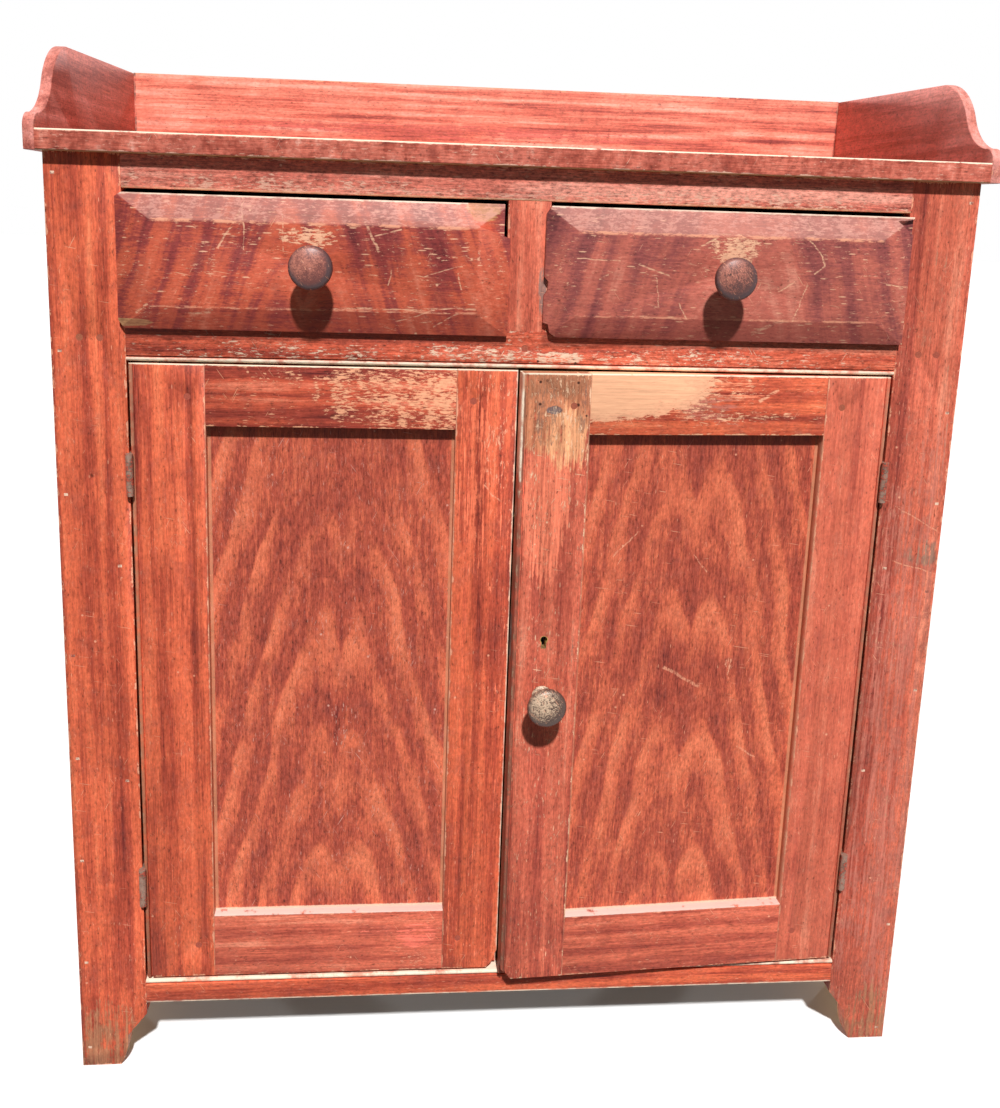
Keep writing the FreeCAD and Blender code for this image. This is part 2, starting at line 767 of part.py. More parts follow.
def door_tenon(hand, u, z):
    return box((door_x(hand, u[0]), door_x(hand, u[1])), (panel_recess, panel_back), z)


def worn_corner(hand):
    """Broken lower corner of the door at its meeting edge."""
    edge = door_free_x[hand]
    low = door_floor
    depth = (-overrun, 0.55 * door_thickness)
    if hand == "left":
        outline = [(edge + overrun, low + 27), (edge - 1.5, low + 22), (edge - 6, low + 9),
                   (edge - 14, low - overrun), (edge + overrun, low - overrun)]
    else:
        outline = [(edge - overrun, low + 21), (edge + 1, low + 14), (edge + 8, low + 8),
                   (edge + 14, low - overrun), (edge - overrun, low - overrun)]
    return front_prism(outline, depth)


def make_door(hand):
    width = door_width[hand]
    hinge_w = door_hinge_stile[hand]
    meeting_u = width - door_meeting_stile[hand]
    hinge_stile = door_stile(hand, (0, hinge_w), 0)
    meeting_stile = door_stile(hand, (meeting_u, width), width if hand == "right" else None)
    rails = {"top_rail": (panel_top, door_top), "bottom_rail": (door_floor, panel_floor)}
    groove = box((door_x(hand, hinge_w - panel_groove), door_x(hand, meeting_u + panel_groove)),
                 (panel_recess, panel_back), (panel_floor - panel_groove, panel_top + panel_groove))
    parts = {}
    tenons = []
    pegs = []
    for name, z in rails.items():
        body = box((door_x(hand, hinge_w), door_x(hand, meeting_u)), (0, door_thickness), z)
        if name == "top_rail":
            tenon_z = (z[0] + panel_groove, z[1] - door_tenon_shoulder)
        else:
            tenon_z = (z[0] + door_tenon_shoulder, z[1] - panel_groove)
        ends = [door_tenon(hand, (hinge_w - door_tenon_length, hinge_w), tenon_z),
                door_tenon(hand, (meeting_u, meeting_u + door_tenon_length), tenon_z)]
        tenons += ends
        parts[name] = cut(fuse([body] + ends), [groove])
        for u in (hinge_w - peg_setback, meeting_u + peg_setback):
            pegs.append(peg(door_x(hand, u), sum(tenon_z) / 2, door_thickness))
    parts["hinge_stile"] = cut(hinge_stile, tenons + [groove])
    parts["meeting_stile"] = cut(meeting_stile, tenons + [groove, worn_corner(hand)])
    for name in list(parts):
        parts[name] = cut(parts[name], pegs)
    parts["panel"] = box((door_x(hand, hinge_w - panel_groove + panel_play),
                          door_x(hand, meeting_u + panel_groove - panel_play)),
                         (panel_recess, panel_back),
                         (panel_floor - panel_groove + panel_seat, panel_top + panel_groove - panel_play))
    parts["pegs"] = Part.makeCompound(pegs)
    return parts


# ---- lock and knob of the right door -----------------------------------------
def keyhole_shape(grow, y):
    """Keyhole: a round hole over a straight slot, between two depths."""
    x = door_free_x["right"] + lock_keyhole_setback
    radius = keyhole_radius + grow
    half_slot = keyhole_slot_width / 2 + grow
    round_part = Part.makeCylinder(radius, y[1] - y[0], V(x, FACE + y[0], lock_height), V(0, 1, 0))
    slot = box((x - half_slot, x + half_slot), y, (lock_height - keyhole_slot_drop - grow, lock_height))
    return fuse([round_part, slot])


def make_lock():
    """Half-mortised cupboard lock: cased from behind, its bolt leaving the meeting edge."""
    edge = door_free_x["right"]
    back = door_thickness
    case_x = (edge + lock_wall, edge + lock_wall + lock_case_length)
    case_y = (back - lock_case_depth, back)
    case_z = (lock_height - lock_case_height / 2, lock_height + lock_case_height / 2)
    inside = box((case_x[0] + lock_wall, case_x[1] - lock_wall), (case_y[0] + lock_wall, back + overrun),
                 (case_z[0] + lock_wall, case_z[1] - lock_wall))
    bolt_y = (back - lock_bolt_back - lock_bolt_thickness, back - lock_bolt_back)
    bolt_z = (lock_height - lock_bolt_height / 2, lock_height + lock_bolt_height / 2)
    tail_z = (bolt_z[1] - lock_tail_lap, bolt_z[1] - lock_tail_lap + lock_tail_height)
    head = box((edge + lock_bolt_fit, edge + lock_bolt_head), bolt_y, bolt_z)
    tail = box((edge + lock_bolt_head - lock_tail_root, edge + lock_bolt_tail), bolt_y, tail_z)
    slot = box((edge - overrun, edge + 3 * lock_wall), (bolt_y[0] - lock_bolt_fit, bolt_y[1] + lock_bolt_fit),
               (bolt_z[0] - lock_bolt_fit, bolt_z[1] + lock_bolt_fit))
    keyway = keyhole_shape(0, (-overrun, case_y[0] + lock_wall + overrun))
    case = cut(box(case_x, case_y, case_z), [inside, slot, keyway])
    selvage = box((edge, case_x[0]), case_y, case_z)
    plate = box((edge, case_x[1] + lock_plate_margin), (back, back + lock_wall),
                (case_z[0] - lock_plate_margin, case_z[1] + lock_plate_margin))
    liner_y = (0, case_y[0])
    liner = keyhole_shape(keyhole_liner, liner_y).cut(keyway)
    pocket = box((edge - overrun, case_x[1]), (case_y[0], back + overrun), case_z)
    return {"lock_case": case, "lock_plate": fuse([selvage, plate]).cut(slot), "keyhole_liner": liner,
            "lock_bolt": fuse([head, tail]),
            "pocket": pocket, "keyhole": keyhole_shape(keyhole_liner, (-overrun, case_y[0]))}


def strike_notch():
    """Notch in the left door's back edge that the lock bolt shoots into."""
    edge = door_free_x["left"]
    reach = lock_bolt_travel - door_meeting_gap + strike_play
    low = door_thickness - lock_bolt_back - lock_bolt_thickness - strike_play / 2
    half = lock_bolt_height / 2 + strike_play
    return box((edge - reach, edge + overrun), (low, door_thickness + overrun),
               (lock_height - half, lock_height + half))


# ---- slide bolt of the left door ---------------------------------------------
def make_catch():
    """Plate with two staples, and the bar that slides up behind the mid rail."""
    x = door_free_x["left"] - catch_setback
    back = door_thickness
    plate_y = (back, back + catch_plate_thickness)
    plate_top = door_top - catch_plate_top_gap
    plate_z = (plate_top - catch_plate_height, plate_top)
    bar_y = (plate_y[1] + catch_fit, plate_y[1] + catch_fit + catch_bar_thickness)
    bar_top = door_top - catch_bar_top_gap
    half_bar = catch_bar_width / 2
    plate = box((x - catch_plate_width / 2, x + catch_plate_width / 2), plate_y, plate_z)
    channel = box((x - half_bar - catch_fit, x + half_bar + catch_fit), (plate_y[1], bar_y[1] + catch_fit),
                  (plate_z[0] - overrun, plate_z[1] + overrun))
    staples = []
    for low in (plate_z[0] + 2 * staple_height, plate_z[1] - 3 * staple_height):
        staples.append(box((x - staple_width / 2, x + staple_width / 2),
                           (plate_y[1], bar_y[1] + catch_fit + staple_wall),
                           (low, low + staple_height)).cut(channel))
    bar = box((x - half_bar, x + half_bar), bar_y, (bar_top - catch_bar_length, bar_top))
    pull = Part.makeCylinder(catch_pull_radius, catch_pull_reach,
                             V(x, FACE + bar_y[1], bar_top - catch_pull_drop), V(0, 1, 0))
    pull = rounded(pull, catch_pull_arris, lambda c: c.y > FACE + bar_y[1] + catch_pull_reach - 0.01)
    return {"bolt_plate": fuse([plate] + staples), "slide_bolt": fuse([bar, pull])}


# ---- nails -------------------------------------------------------------------
def make_nails():
    back = V(0, 1, 0)
    nails = []
    for hand, side in (("left", -1), ("right", 1)):
        for share in stile_nail_shares[hand]:
            nails.append(nail(V(side * (half_case - stile_nail_inset), FACE, share * case_height), back))
        for top in shelf_tops.values():
            nails.append(nail(V(side * (half_opening + shelf_nail_setback), FACE,
                                top - shelf_thickness / 2), back))
        for y in spread(top_nail_ends, case_depth - top_nail_ends, top_nail_count):
            nails.append(nail(V(side * (half_case - side_thickness / 2), FACE + y, top_surface),
                              V(0, 0, -1)))
        outer = side * (half_top + gallery_side_thickness)
        for y in spread(gallery_nail_ends, top_rear - gallery_nail_ends, gallery_nail_count):
            nails.append(nail(V(outer, FACE + y, case_height + top_thickness / 2), V(-side, 0, 0)))
        for share in gallery_end_nail_shares:
            nails.append(nail(V(outer, FACE + (top_rear + case_depth) / 2,
                                top_surface + share * gallery_height), V(-side, 0, 0)))
    board_width = case_width / back_count
    for i in range(back_count):
        for x in (i * board_width + back_nail_inset, (i + 1) * board_width - back_nail_inset):
            for z in (bottom_rail_top - shelf_thickness / 2, mid_rail_floor + mid_rail_height / 2):
                nails.append(nail(V(x - half_case, FACE + case_depth, z), V(0, -1, 0),
                                  back_nail_length))
    return nails


# ---- assembly ----------------------------------------------------------------
def build():
    parts = make_face_frame()
    parts["bottom_board"] = make_bottom_board()
    side = make_side(parts["bottom_board"])
    parts["side_left"] = side
    parts["side_right"] = mirrored(side)
    parts.update(make_shelves())
    parts.update(make_drawer_bearers())
    parts["top_board"] = make_top()
    parts["gallery_back"] = make_gallery_back()
    parts["gallery_side_left"] = make_gallery_side()
    parts["gallery_side_right"] = mirrored(parts["gallery_side_left"])
    parts["back_boards"] = Part.makeCompound(make_back_boards())

    nails = make_nails()
    nail_group = Part.makeCompound(nails)
    for name in ("stile_left", "stile_right", "side_left", "side_right", "top_board", "gallery_back",
                 "gallery_side_left", "gallery_side_right", "back_boards", "bottom_board",
                 "rear_rail", "shelf_lower", "shelf_upper"):
        parts[name] = parts[name].cut(nail_group)
    parts["cut_nails"] = nail_group

    frame_leaves = []
    pins = []
    frame_screws = []
    for hand in ("left", "right"):
        settle = turned_open if hand == "right" else (lambda shape: shape)
        door = make_door(hand)
        hinges = make_hinges(hand)
        frame_beds, door_beds = leaf_beds(hand)
        stile = "stile_" + hand
        parts[stile] = cut(parts[stile], frame_beds + hinges["frame_screws"])
        door["hinge_stile"] = cut(door["hinge_stile"], door_beds + hinges["door_screws"])
        door["hinge_leaves"] = Part.makeCompound(hinges["door"])
        door["hinge_screws"] = Part.makeCompound(hinges["door_screws"])
        frame_leaves += hinges["frame"]
        pins += hinges["pins"]
        frame_screws += hinges["frame_screws"]
        if hand == "left":
            door["meeting_stile"] = cut(door["meeting_stile"], [strike_notch()])
            door.update(make_catch())
        else:
            lock = make_lock()
            knob_x = door_free_x["right"] + lock_keyhole_setback
            knob_z = lock_height - door_knob_drop
            door["knob"] = make_knob(knob_x, knob_z, 0, door_knob_radius, door_thickness)
            hole = knob_hole(knob_x, knob_z, (-overrun, door_thickness + overrun))
            door["meeting_stile"] = cut(door["meeting_stile"],
                                        [lock.pop("pocket"), lock.pop("keyhole"), hole])
            door.update(lock)
        for name, shape in door.items():
            parts["door_" + hand + "_" + name] = settle(shape)
    parts["hinge_frame_leaves"] = Part.makeCompound(frame_leaves)
    parts["hinge_pins"] = Part.makeCompound(pins)
    parts["hinge_screws_frame"] = Part.makeCompound(frame_screws)

    for hand in ("left", "right"):
        parts.update(make_drawer(hand))
    return parts


os.makedirs("parts", exist_ok=True)
for node, shape in build().items():
    shape.exportStep("parts/" + node + ".step")
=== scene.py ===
import math

import bpy
from mathutils import Matrix, Vector


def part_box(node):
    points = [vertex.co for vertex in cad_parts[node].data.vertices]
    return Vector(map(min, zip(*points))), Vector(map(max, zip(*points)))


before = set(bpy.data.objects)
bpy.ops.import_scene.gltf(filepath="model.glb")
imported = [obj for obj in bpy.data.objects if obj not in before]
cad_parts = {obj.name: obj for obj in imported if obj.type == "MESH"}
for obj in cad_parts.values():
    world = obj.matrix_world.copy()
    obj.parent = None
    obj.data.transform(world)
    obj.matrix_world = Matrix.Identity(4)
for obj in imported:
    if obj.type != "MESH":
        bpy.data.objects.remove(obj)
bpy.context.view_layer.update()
MM = 0.001

# ---------------------------------------------------------------- measures, mm
face_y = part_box("stile_left")[0].y / MM          # front of the face frame
pin_x, pin_proud = 450.5, 4.5                    # right door's hinge pins
hinge_line = Vector((pin_x, face_y - pin_proud, 0))
ajar = math.radians(3)                           # how far the right door stands open
bevel_end, bevel_top, bevel_foot = 38, 28.5, 26  # bevels of a drawer front
plank_arris, board_arris = 0.8, 1.1              # how far old arrises are rounded


def tint(red, green, blue):
    """A paint colour from its screen values, 0 to 255."""
    linear = []
    for channel in (red, green, blue):
        share = channel / 255
        if share <= 0.04045:
            linear.append(share / 12.92)
        else:
            linear.append(((share + 0.055) / 1.055) ** 2.4)
    return (*linear, 1)


def palette(*colours):
    """A board's paints: darkest glaze, glaze, ground and lightest ground."""
    return tuple(tint(*colour) for colour in colours)


orange_paints = palette((116, 44, 38), (184, 80, 58), (226, 108, 74), (242, 132, 92))
pink_paints = palette((130, 54, 48), (184, 86, 68), (220, 112, 86), (244, 148, 118))
panel_paints = palette((108, 44, 42), (174, 80, 62), (214, 108, 78), (230, 124, 90))
rail_paints = palette((92, 34, 34), (158, 66, 52), (204, 92, 66), (238, 134, 104))
dusty_paints = palette((104, 46, 46), (166, 82, 72), (210, 116, 98), (240, 160, 140))
top_paints = palette((108, 46, 42), (172, 82, 66), (216, 118, 98), (250, 180, 160))
gallery_paints = palette((154, 74, 68), (218, 116, 96), (242, 146, 122), (252, 178, 156))
ogee_paints = palette((124, 62, 58), (176, 96, 84), (208, 124, 110), (234, 154, 142))
red_drawer_paints = palette((92, 36, 40), (146, 62, 58), (202, 94, 68), (228, 128, 100))
plum_drawer_paints = palette((98, 50, 54), (152, 80, 76), (196, 106, 90), (228, 148, 126))
red_glaze = tint(196, 82, 60)
plum_bloom = tint(138, 76, 68)
pale_undercoat = tint(248, 172, 138)
# pale cream: worn paint on arrises and beads, and a painted highlight on their upward edges
cream_wear_and_highlight = tint(255, 238, 212)
bare_wood = tint(238, 194, 132)
old_wood = tint(158, 112, 72)
# dark dirt for pores, holes and knots, also used as painted shadow at the top of sunk
# panels
grime_and_shade = tint(66, 38, 30)
grey_scuff = tint(134, 112, 104)
inside_wood = tint(204, 162, 114)


class Value:
    """A number that varies over a surface. Sums on it add Math nodes."""

    def __init__(self, finish, socket):
        self.finish = finish
        self.socket = socket

    def sum(self, operation, *values):
        return self.finish.node("ShaderNodeMath", {"operation": operation}, values)

    def __add__(self, other):
        return self.sum("ADD", self, other)

    __radd__ = __add__

    def __sub__(self, other):
        return self.sum("SUBTRACT", self, other)

    def __rsub__(self, other):
        return self.sum("SUBTRACT", other, self)

    def __mul__(self, other):
        return self.sum("MULTIPLY", self, other)

    __rmul__ = __mul__

    def __truediv__(self, other):
        return self.sum("DIVIDE", self, other)

    def __abs__(self):
        return self.sum("ABSOLUTE", self)

    def least(self, other):
        return self.sum("MINIMUM", self, other)

    def most(self, other):
        return self.sum("MAXIMUM", self, other)

    def part(self):
        """What is left over above the whole number below it."""
        return self.sum("FRACT", self)

    def root(self):
        return self.sum("SQRT", self)

    def above(self, low, high):
        """0 below low, 1 above high, smooth between."""
        settings = {"interpolation_type": "SMOOTHSTEP"}
        return self.finish.node("ShaderNodeMapRange", settings, (self, low, high))

    def below(self, low, high):
        """1 below low, 0 above high, smooth between."""
        return 1 - self.above(low, high)


def diagonal(across, up):
    """How far two steps at right angles reach."""
    return (across * across + up * up).root()


class Finish:
    """One material, built up node by node."""

    def __init__(self, name, tree=None):
        if tree is None:
            self.material = bpy.data.materials.new(name)
            self.material.use_nodes = True
            tree = self.material.node_tree
        self.tree = tree
        self.tree.nodes.clear()

    def node(self, kind, settings=None, values=(), output=0):
        """Adds a node: its settings first, then its sockets' values or links."""
        made = self.tree.nodes.new(kind)
        for name, setting in (settings or {}).items():
            setattr(made, name, setting)
        pairs = values.items() if isinstance(values, dict) else enumerate(values)
        for name, value in pairs:
            if isinstance(value, Value):
                self.tree.links.new(value.socket, made.inputs[name])
            elif value is not None:
                made.inputs[name].default_value = value
        return made if output is None else Value(self, made.outputs[output])

    def mix(self, below, above, share):
        """One colour laid over another, by a share from 0 to 1."""
        settings = {"data_type": "RGBA"}
        return self.node("ShaderNodeMix", settings, {0: share, 6: below, 7: above}, 2)

    def shade(self, colour, amount):
        """The colour made lighter or darker by a number about 1."""
        if not isinstance(colour, Value):
            colour = colour[:3]
        grey = self.node("ShaderNodeCombineXYZ", None, (amount, amount, amount))
        settings = {"operation": "MULTIPLY"}
        return self.node("ShaderNodeVectorMath", settings, (colour, grey))

    def place(self, door=False):
        """Where a point is, in mm from the face frame's front, with the door shut."""
        point = self.node("ShaderNodeTexCoord", None, (), "Object")
        scaled = self.node(
            "ShaderNodeVectorMath",
            {"operation": "MULTIPLY_ADD"},
            (point, (1000, 1000, 1000), (0, -face_y, 0)),
        )
        if not door:
            return scaled
        centre = (hinge_line.x, hinge_line.y - face_y, 0)
        values = {"Vector": scaled, "Center": centre, "Angle": -ajar}
        return self.node("ShaderNodeVectorRotate", {"rotation_type": "Z_AXIS"}, values)

    def axes(self, point):
        """The point's x, y and z."""
        return [self.node("ShaderNodeSeparateXYZ", None, (point,), i) for i in range(3)]

    def stretched(self, point, lengths, turn=0.0, seed=0.0):
        """The point with each axis divided by a length in mm, turned first if asked."""
        if turn:
            values = {"Vector": point, "Angle": math.radians(turn)}
            point = self.node(
                "ShaderNodeVectorRotate", {"rotation_type": "Y_AXIS"}, values
            )
        scale = tuple(1 / length for length in lengths)
        settings = {"operation": "MULTIPLY_ADD"}
        shift = (seed * 7.31, seed * 3.17, seed * 5.53)
        return self.node("ShaderNodeVectorMath", settings, (point, scale, shift))

    def cloud(self, point, lengths, detail=2, rough=0.5, turn=0.0, seed=0.0):
        """Soft noise about 0.5, with spots of the given lengths in mm."""
        values = {
            "Vector": self.stretched(point, lengths, turn, seed),
            "Scale": 1,
            "Detail": detail,
            "Roughness": rough,
        }
        return self.node("ShaderNodeTexNoise", {"noise_dimensions": "3D"}, values)

    def specks(self, point, lengths, seed=0.0):
        """Distance to the nearest of scattered spots, 0 at their middle."""
        values = {"Vector": self.stretched(point, lengths, 0, seed), "Scale": 1}
        settings = {"voronoi_dimensions": "3D", "feature": "F1"}
        return self.node("ShaderNodeTexVoronoi", settings, values, "Distance")

    def surface(self, colour, roughness, height, relief=0.25, metal=0.0, shine=0.5):
        """The finished material, its height bumped by a relief in mm."""
        values = {"Strength": 1, "Distance": relief * MM, "Height": height}
        bump = self.node("ShaderNodeBump", None, values)
        values = {
            "Base Color": colour,
            "Roughness": roughness,
            "Metallic": metal,
            "Normal": bump,
            "Specular IOR Level": shine,
        }
        shader = self.node("ShaderNodeBsdfPrincipled", None, values)
        self.node("ShaderNodeOutputMaterial", None, {"Surface": shader}, None)
        return self.material


def shut_box(name, door=False):
    """A board's box in mm from the face frame's front, with the door shut."""
    turn = Matrix.Rotation(-ajar if door else 0, 3, "Z")
    points = []
    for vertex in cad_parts[name].data.vertices:
        point = turn @ (vertex.co / MM - hinge_line) + hinge_line
        points.append((point.x, point.y - face_y, point.z))
    low = [min(p[i] for p in points) for i in range(3)]
    high = [max(p[i] for p in points) for i in range(3)]
    return low, high


def grained(along, across, length):
    """Lengths of a streak that runs along one axis."""
    lengths = [across, across, across]
    lengths[along] = length
    return lengths


# ---------------------------------------------------------------- painted figures
# Each gives a board's tone: light above 0, dark below it.
def streaks(board, across=14, length=520, depth=0.8):
    """Long wavering streaks of glaze down a board."""
    point, along, seed = board.point, board.along, board.seed
    bands = board.cloud(point, grained(along, across, length), 2, 0.5, seed=seed)
    veins = board.cloud(point, grained(along, 2.6, 130), 2, 0.6, seed=seed + 2)
    return (bands - 0.5) * 2.2 * depth - veins.above(0.56, 0.7) * 0.2 * depth


def short_bars(board):
    """Short bars of glaze drawn across a narrow edge."""
    bars = board.cloud(board.point, (16, 40, 30), 4, 0.65, seed=board.seed)
    return (bars - 0.5) * 1.6


def arches(board, middle, top, rise, slope, lobe=20):
    """Nested arches, each lightest just under its own edge and split by a valley."""
    point = board.point
    sway = board.cloud(point, (110, 300, 190), 2, 0.5, seed=middle)
    strands = board.cloud(point, (6, 300, 120), 3, 0.6, seed=middle + 3)
    lift = board.cloud(point, (120, 300, 130), 2, 0.5, seed=middle + 7)
    fade = board.cloud(point, (60, 300, 90), 2, 0.5, seed=middle + 5)
    side = board.x - middle + (sway - 0.5) * 28
    lobed = abs(abs(side) - lobe)
    spread = (lobed * lobed + 260).root() - 16
    upward = board.z - top + spread / slope
    step = ((upward + (lift - 0.5) * 110 + (strands - 0.5) * 20) / rise).part()
    glow = step.above(0.3, 0.86) * step.below(0.86, 0.98)
    full = board.z.below(top - 110, top - 10).most(spread.above(30, 60))
    glow = glow * (0.3 + 0.7 * full) * (0.35 + fade.above(0.36, 0.6))
    valley = abs(side).below(1, 13) * strands.above(0.35, 0.6)
    ripple = (step * 4 + strands * 1.4).part()
    ripple = ripple.above(0.1, 0.6) * ripple.below(0.65, 1.0)
    tone = (glow - 0.4) * 0.52 + ripple * 0.1
    return tone - valley * 0.2 + (strands - 0.5) * 0.6


def fan(board, middle, depth, lift):
    """Soft bands that spread downward either side of a middle, lifted to its right."""
    sway = board.cloud(board.point, (110, 300, 160), 2, 0.5, seed=middle)
    side = board.x - middle + (sway - 0.5) * 30
    lobed = abs(abs(side) - 24)
    across = (lobed * lobed + 300).root() + (board.z - 1030) * 0.3
    bent = board.node("ShaderNodeCombineXYZ", None, (across, side, board.z))
    bands = board.cloud(bent, (22, 260, 240), 3, 0.5, seed=middle + 1)
    strands = board.cloud(bent, (4, 160, 160), 2, 0.6, seed=middle + 2)
    deeper = board.z.above(1010, 1075) * 0.2 + abs(side).above(120, 200) * 0.05
    lighter = side.above(40, 130) * lift + 0.08
    return ((bands - 0.5) * 3 + (strands - 0.5) * 0.6) * depth + lighter - deeper


class Paint(Finish):
    """A painted board: where its points lie, and the noises its marks share."""

    def __init__(self, name, along, length, door, seed):
        super().__init__("painted_" + name)
        self.along = along
        self.seed = seed
        self.point = point = self.place(door)
        self.x, self.y, self.z = self.axes(point)
        self.low, self.high = shut_box(name, door)
        # wood grain, combed glaze, pores, broad blotches, patches and flaking
        self.grain = self.cloud(point, grained(along, 1.6, length), 3, 0.7, seed=seed + 11)
        self.comb = self.cloud(point, grained(along, 3.6, 110), 3, 0.65, seed=seed + 12)
        self.mottle = self.cloud(point, grained(along, 3, 6), 3, 0.7, seed=seed + 13)
        self.blotch = self.cloud(point, (70, 70, 70), 3, 0.6, seed=seed + 14)
        self.patchy = self.cloud(point, (22, 22, 22), 4, 0.65, seed=seed + 15)
        self.chips = self.cloud(point, grained(along, 2.3, 10), 4, 0.75, seed=seed + 16)

    # -- places on the board, in mm
    def inset(self, axis, heading):
        """How far a point lies in from the low (1) or high (-1) side of one axis."""
        value = (self.x, self.y, self.z)[axis]
        edge = (self.low if heading > 0 else self.high)[axis]
        return (value - edge) * heading

    def from_ends(self, axis):
        """How far a point lies from the nearer side of one axis."""
        return self.inset(axis, 1).least(self.inset(axis, -1))

    def from_arris(self):
        """How far a point lies from the board's nearest arris."""
        a, b, c = [self.from_ends(axis) for axis in range(3)]
        return a.least(b).most(a.most(b).least(c))

    def patch(self, spot):
        """The spot's strength in its middle, 0 at its rim, below 0 outside it."""
        middle_x, middle_z, half_x, half_z, strength = spot
        across = (self.x - middle_x) / half_x
        up = (self.z - middle_z) / half_z
        far = across * across + up * up
        return (1 - far * far).most(-1) * strength

    def stroke(self, x, z, line):
        """1 on a scratch from one point to another, 0 beside it."""
        x1, z1, x2, z2, width = line
        length = math.hypot(x2 - x1, z2 - z1)
        way_x, way_z = (x2 - x1) / length, (z2 - z1) / length
        from_x, from_z = x - x1, z - z1
        along = from_x * way_x + from_z * way_z
        beside = abs(from_x * way_z - from_z * way_x)
        past = abs(along - length / 2) - length / 2
        return beside.most(past).below(width * 0.35, width)

    # -- coats and wear, laid one over another
    def glazes(self, tone, paints, bloom, texture):
        """The paints by their tone, dulled by a bloom and grained."""
        dark, glaze, ground, bright = paints
        colour = self.mix(dark, glaze, tone.above(-0.05, 0.42))
        colour = self.mix(colour, ground, tone.above(0.36, 0.74))
        colour = self.mix(colour, bright, tone.above(0.72, 1.15))
        plum = (self.patchy + self.grain).above(0.98, 1.25) * bloom
        colour = self.mix(colour, plum_bloom, plum)
        fineness = ((self.grain - 0.5) * 0.9 + (self.mottle - 0.5)) * texture + 1.0
        return self.shade(colour, fineness.most(0.3))

    def stains(self, colour, washed):
        """Broad stains and rubbed zones with soft edges."""
        for spot, wash in washed:
            share = self.patch(spot) + (self.patchy - 0.5) * 1.6
            share = share + (self.chips - 0.5) * 2.0 + (self.comb - 0.5) * 3.0
            fineness = (self.grain - 0.5) * 0.8 + (self.mottle - 0.5) * 0.8
            fineness = fineness + (self.comb - 0.5) * 2.4 + 1.0
            stain = self.shade(wash, fineness.most(0.3))
            colour = self.mix(colour, stain, share.above(0.1, 0.65) * 0.85)
        return colour

    def flecks(self, colour, undercoat, amount):
        """Pale flecks and dark pores, thickest where the paint has dried out."""
        dry = (self.patchy + self.blotch).above(0.88, 1.18)
        pale = self.chips.above(0.6, 0.68) * (0.3 + dry * 0.7) * amount
        colour = self.mix(colour, undercoat, pale.least(1) * 0.6)
        pores = (self.mottle + self.chips).below(0.72, 0.82)
        colour = self.mix(colour, grime_and_shade, pores * 0.62)
        for length, share, paint in ((18, 0.09 * amount, undercoat), (14, 0.08, grime_and_shade)):
            lengths = grained(self.along, 5.5, length * 2)
            dashes = self.specks(self.point, lengths, self.seed + length)
            dashes = dashes.below(share * 0.6, share)
            dashes = dashes * (self.chips + self.patchy).above(0.9, 1.05)
            colour = self.mix(colour, paint, dashes * 0.75)
        return colour

    def wear(self, colour, worn, undercoat, bare, edges):
        """Rubbed arrises and patches, bare in their middle: the colour and the rub."""
        rub = self.from_arris().below(0.4, 4.5) * 0.42 * edges
        rub = rub * self.patchy.above(0.3, 0.6)
        for spot in worn:
            rub = rub.most(self.patch(spot) * 0.5)
        ragged = rub + (self.chips - 0.5) * 1.15 + (self.patchy - 0.5) * 0.55
        rubbed = ragged.above(0.34, 0.42)
        bared = ragged.above(0.62, 0.8)
        paint = self.shade(undercoat, 0.44 + self.grain * 0.52 + self.mottle * 0.6)
        wood = self.shade(bare, 0.24 + self.grain * 0.7 + self.comb * 0.95)
        colour = self.mix(colour, paint, rubbed * 0.88)
        return self.mix(colour, wood, bared * 0.8), rubbed

    def scratches(self, colour, undercoat, lines):
        """Fine threads, long scratches and dents: the colour and the marks."""
        marks = 0.0
        for turn, rarity in ((35, 0.755), (-28, 0.76), (80, 0.75)):
            thread = self.cloud(self.point, (1.3, 60, 26), 1, 0.4, turn, self.seed + turn)
            marks = thread.above(rarity, rarity + 0.03) + marks
        marks = marks * self.blotch.above(0.42, 0.6)
        sway = 9
        bent_x = self.x + (self.patchy - 0.5) * sway
        bent_z = self.z + (self.blotch - 0.5) * sway
        for line in lines:
            scratch = self.stroke(bent_x, bent_z, line) * self.chips.above(0.4, 0.56)
            marks = scratch * 0.9 + marks
        dents = self.specks(self.point, (26, 26, 26), self.seed).below(0.04, 0.075)
        marks = (marks + dents * self.patchy.above(0.45, 0.6)).least(1)
        return self.mix(colour, undercoat, marks * 0.8), marks

    def nail_holes(self, colour, holes):
        """Dark round holes left by old nails and screws."""
        for hole_x, hole_z, radius in holes:
            off = diagonal(self.x - hole_x, self.z - hole_z)
            hollow = off.below(radius * 0.6, radius * 1.2)
            colour = self.mix(colour, grime_and_shade, hollow * 0.95)
        return colour

    def bare_face(self, colour, axis, heading):
        """The unpainted face on the low (1) or high (-1) side of one axis."""
        inner = self.inset(axis, heading).below(0.6, 1.2)
        fineness = 0.3 + self.grain * 0.7 + self.comb * 0.5 + self.blotch * 0.2
        return self.mix(colour, self.shade(inside_wood, fineness), inner)


# ---------------------------------------------------------------- painted boards
def give(material, *names):
    """Puts a material on each of the named pieces."""
    for name in names:
        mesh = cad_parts[name].data
        mesh.materials.clear()
        mesh.materials.append(material)


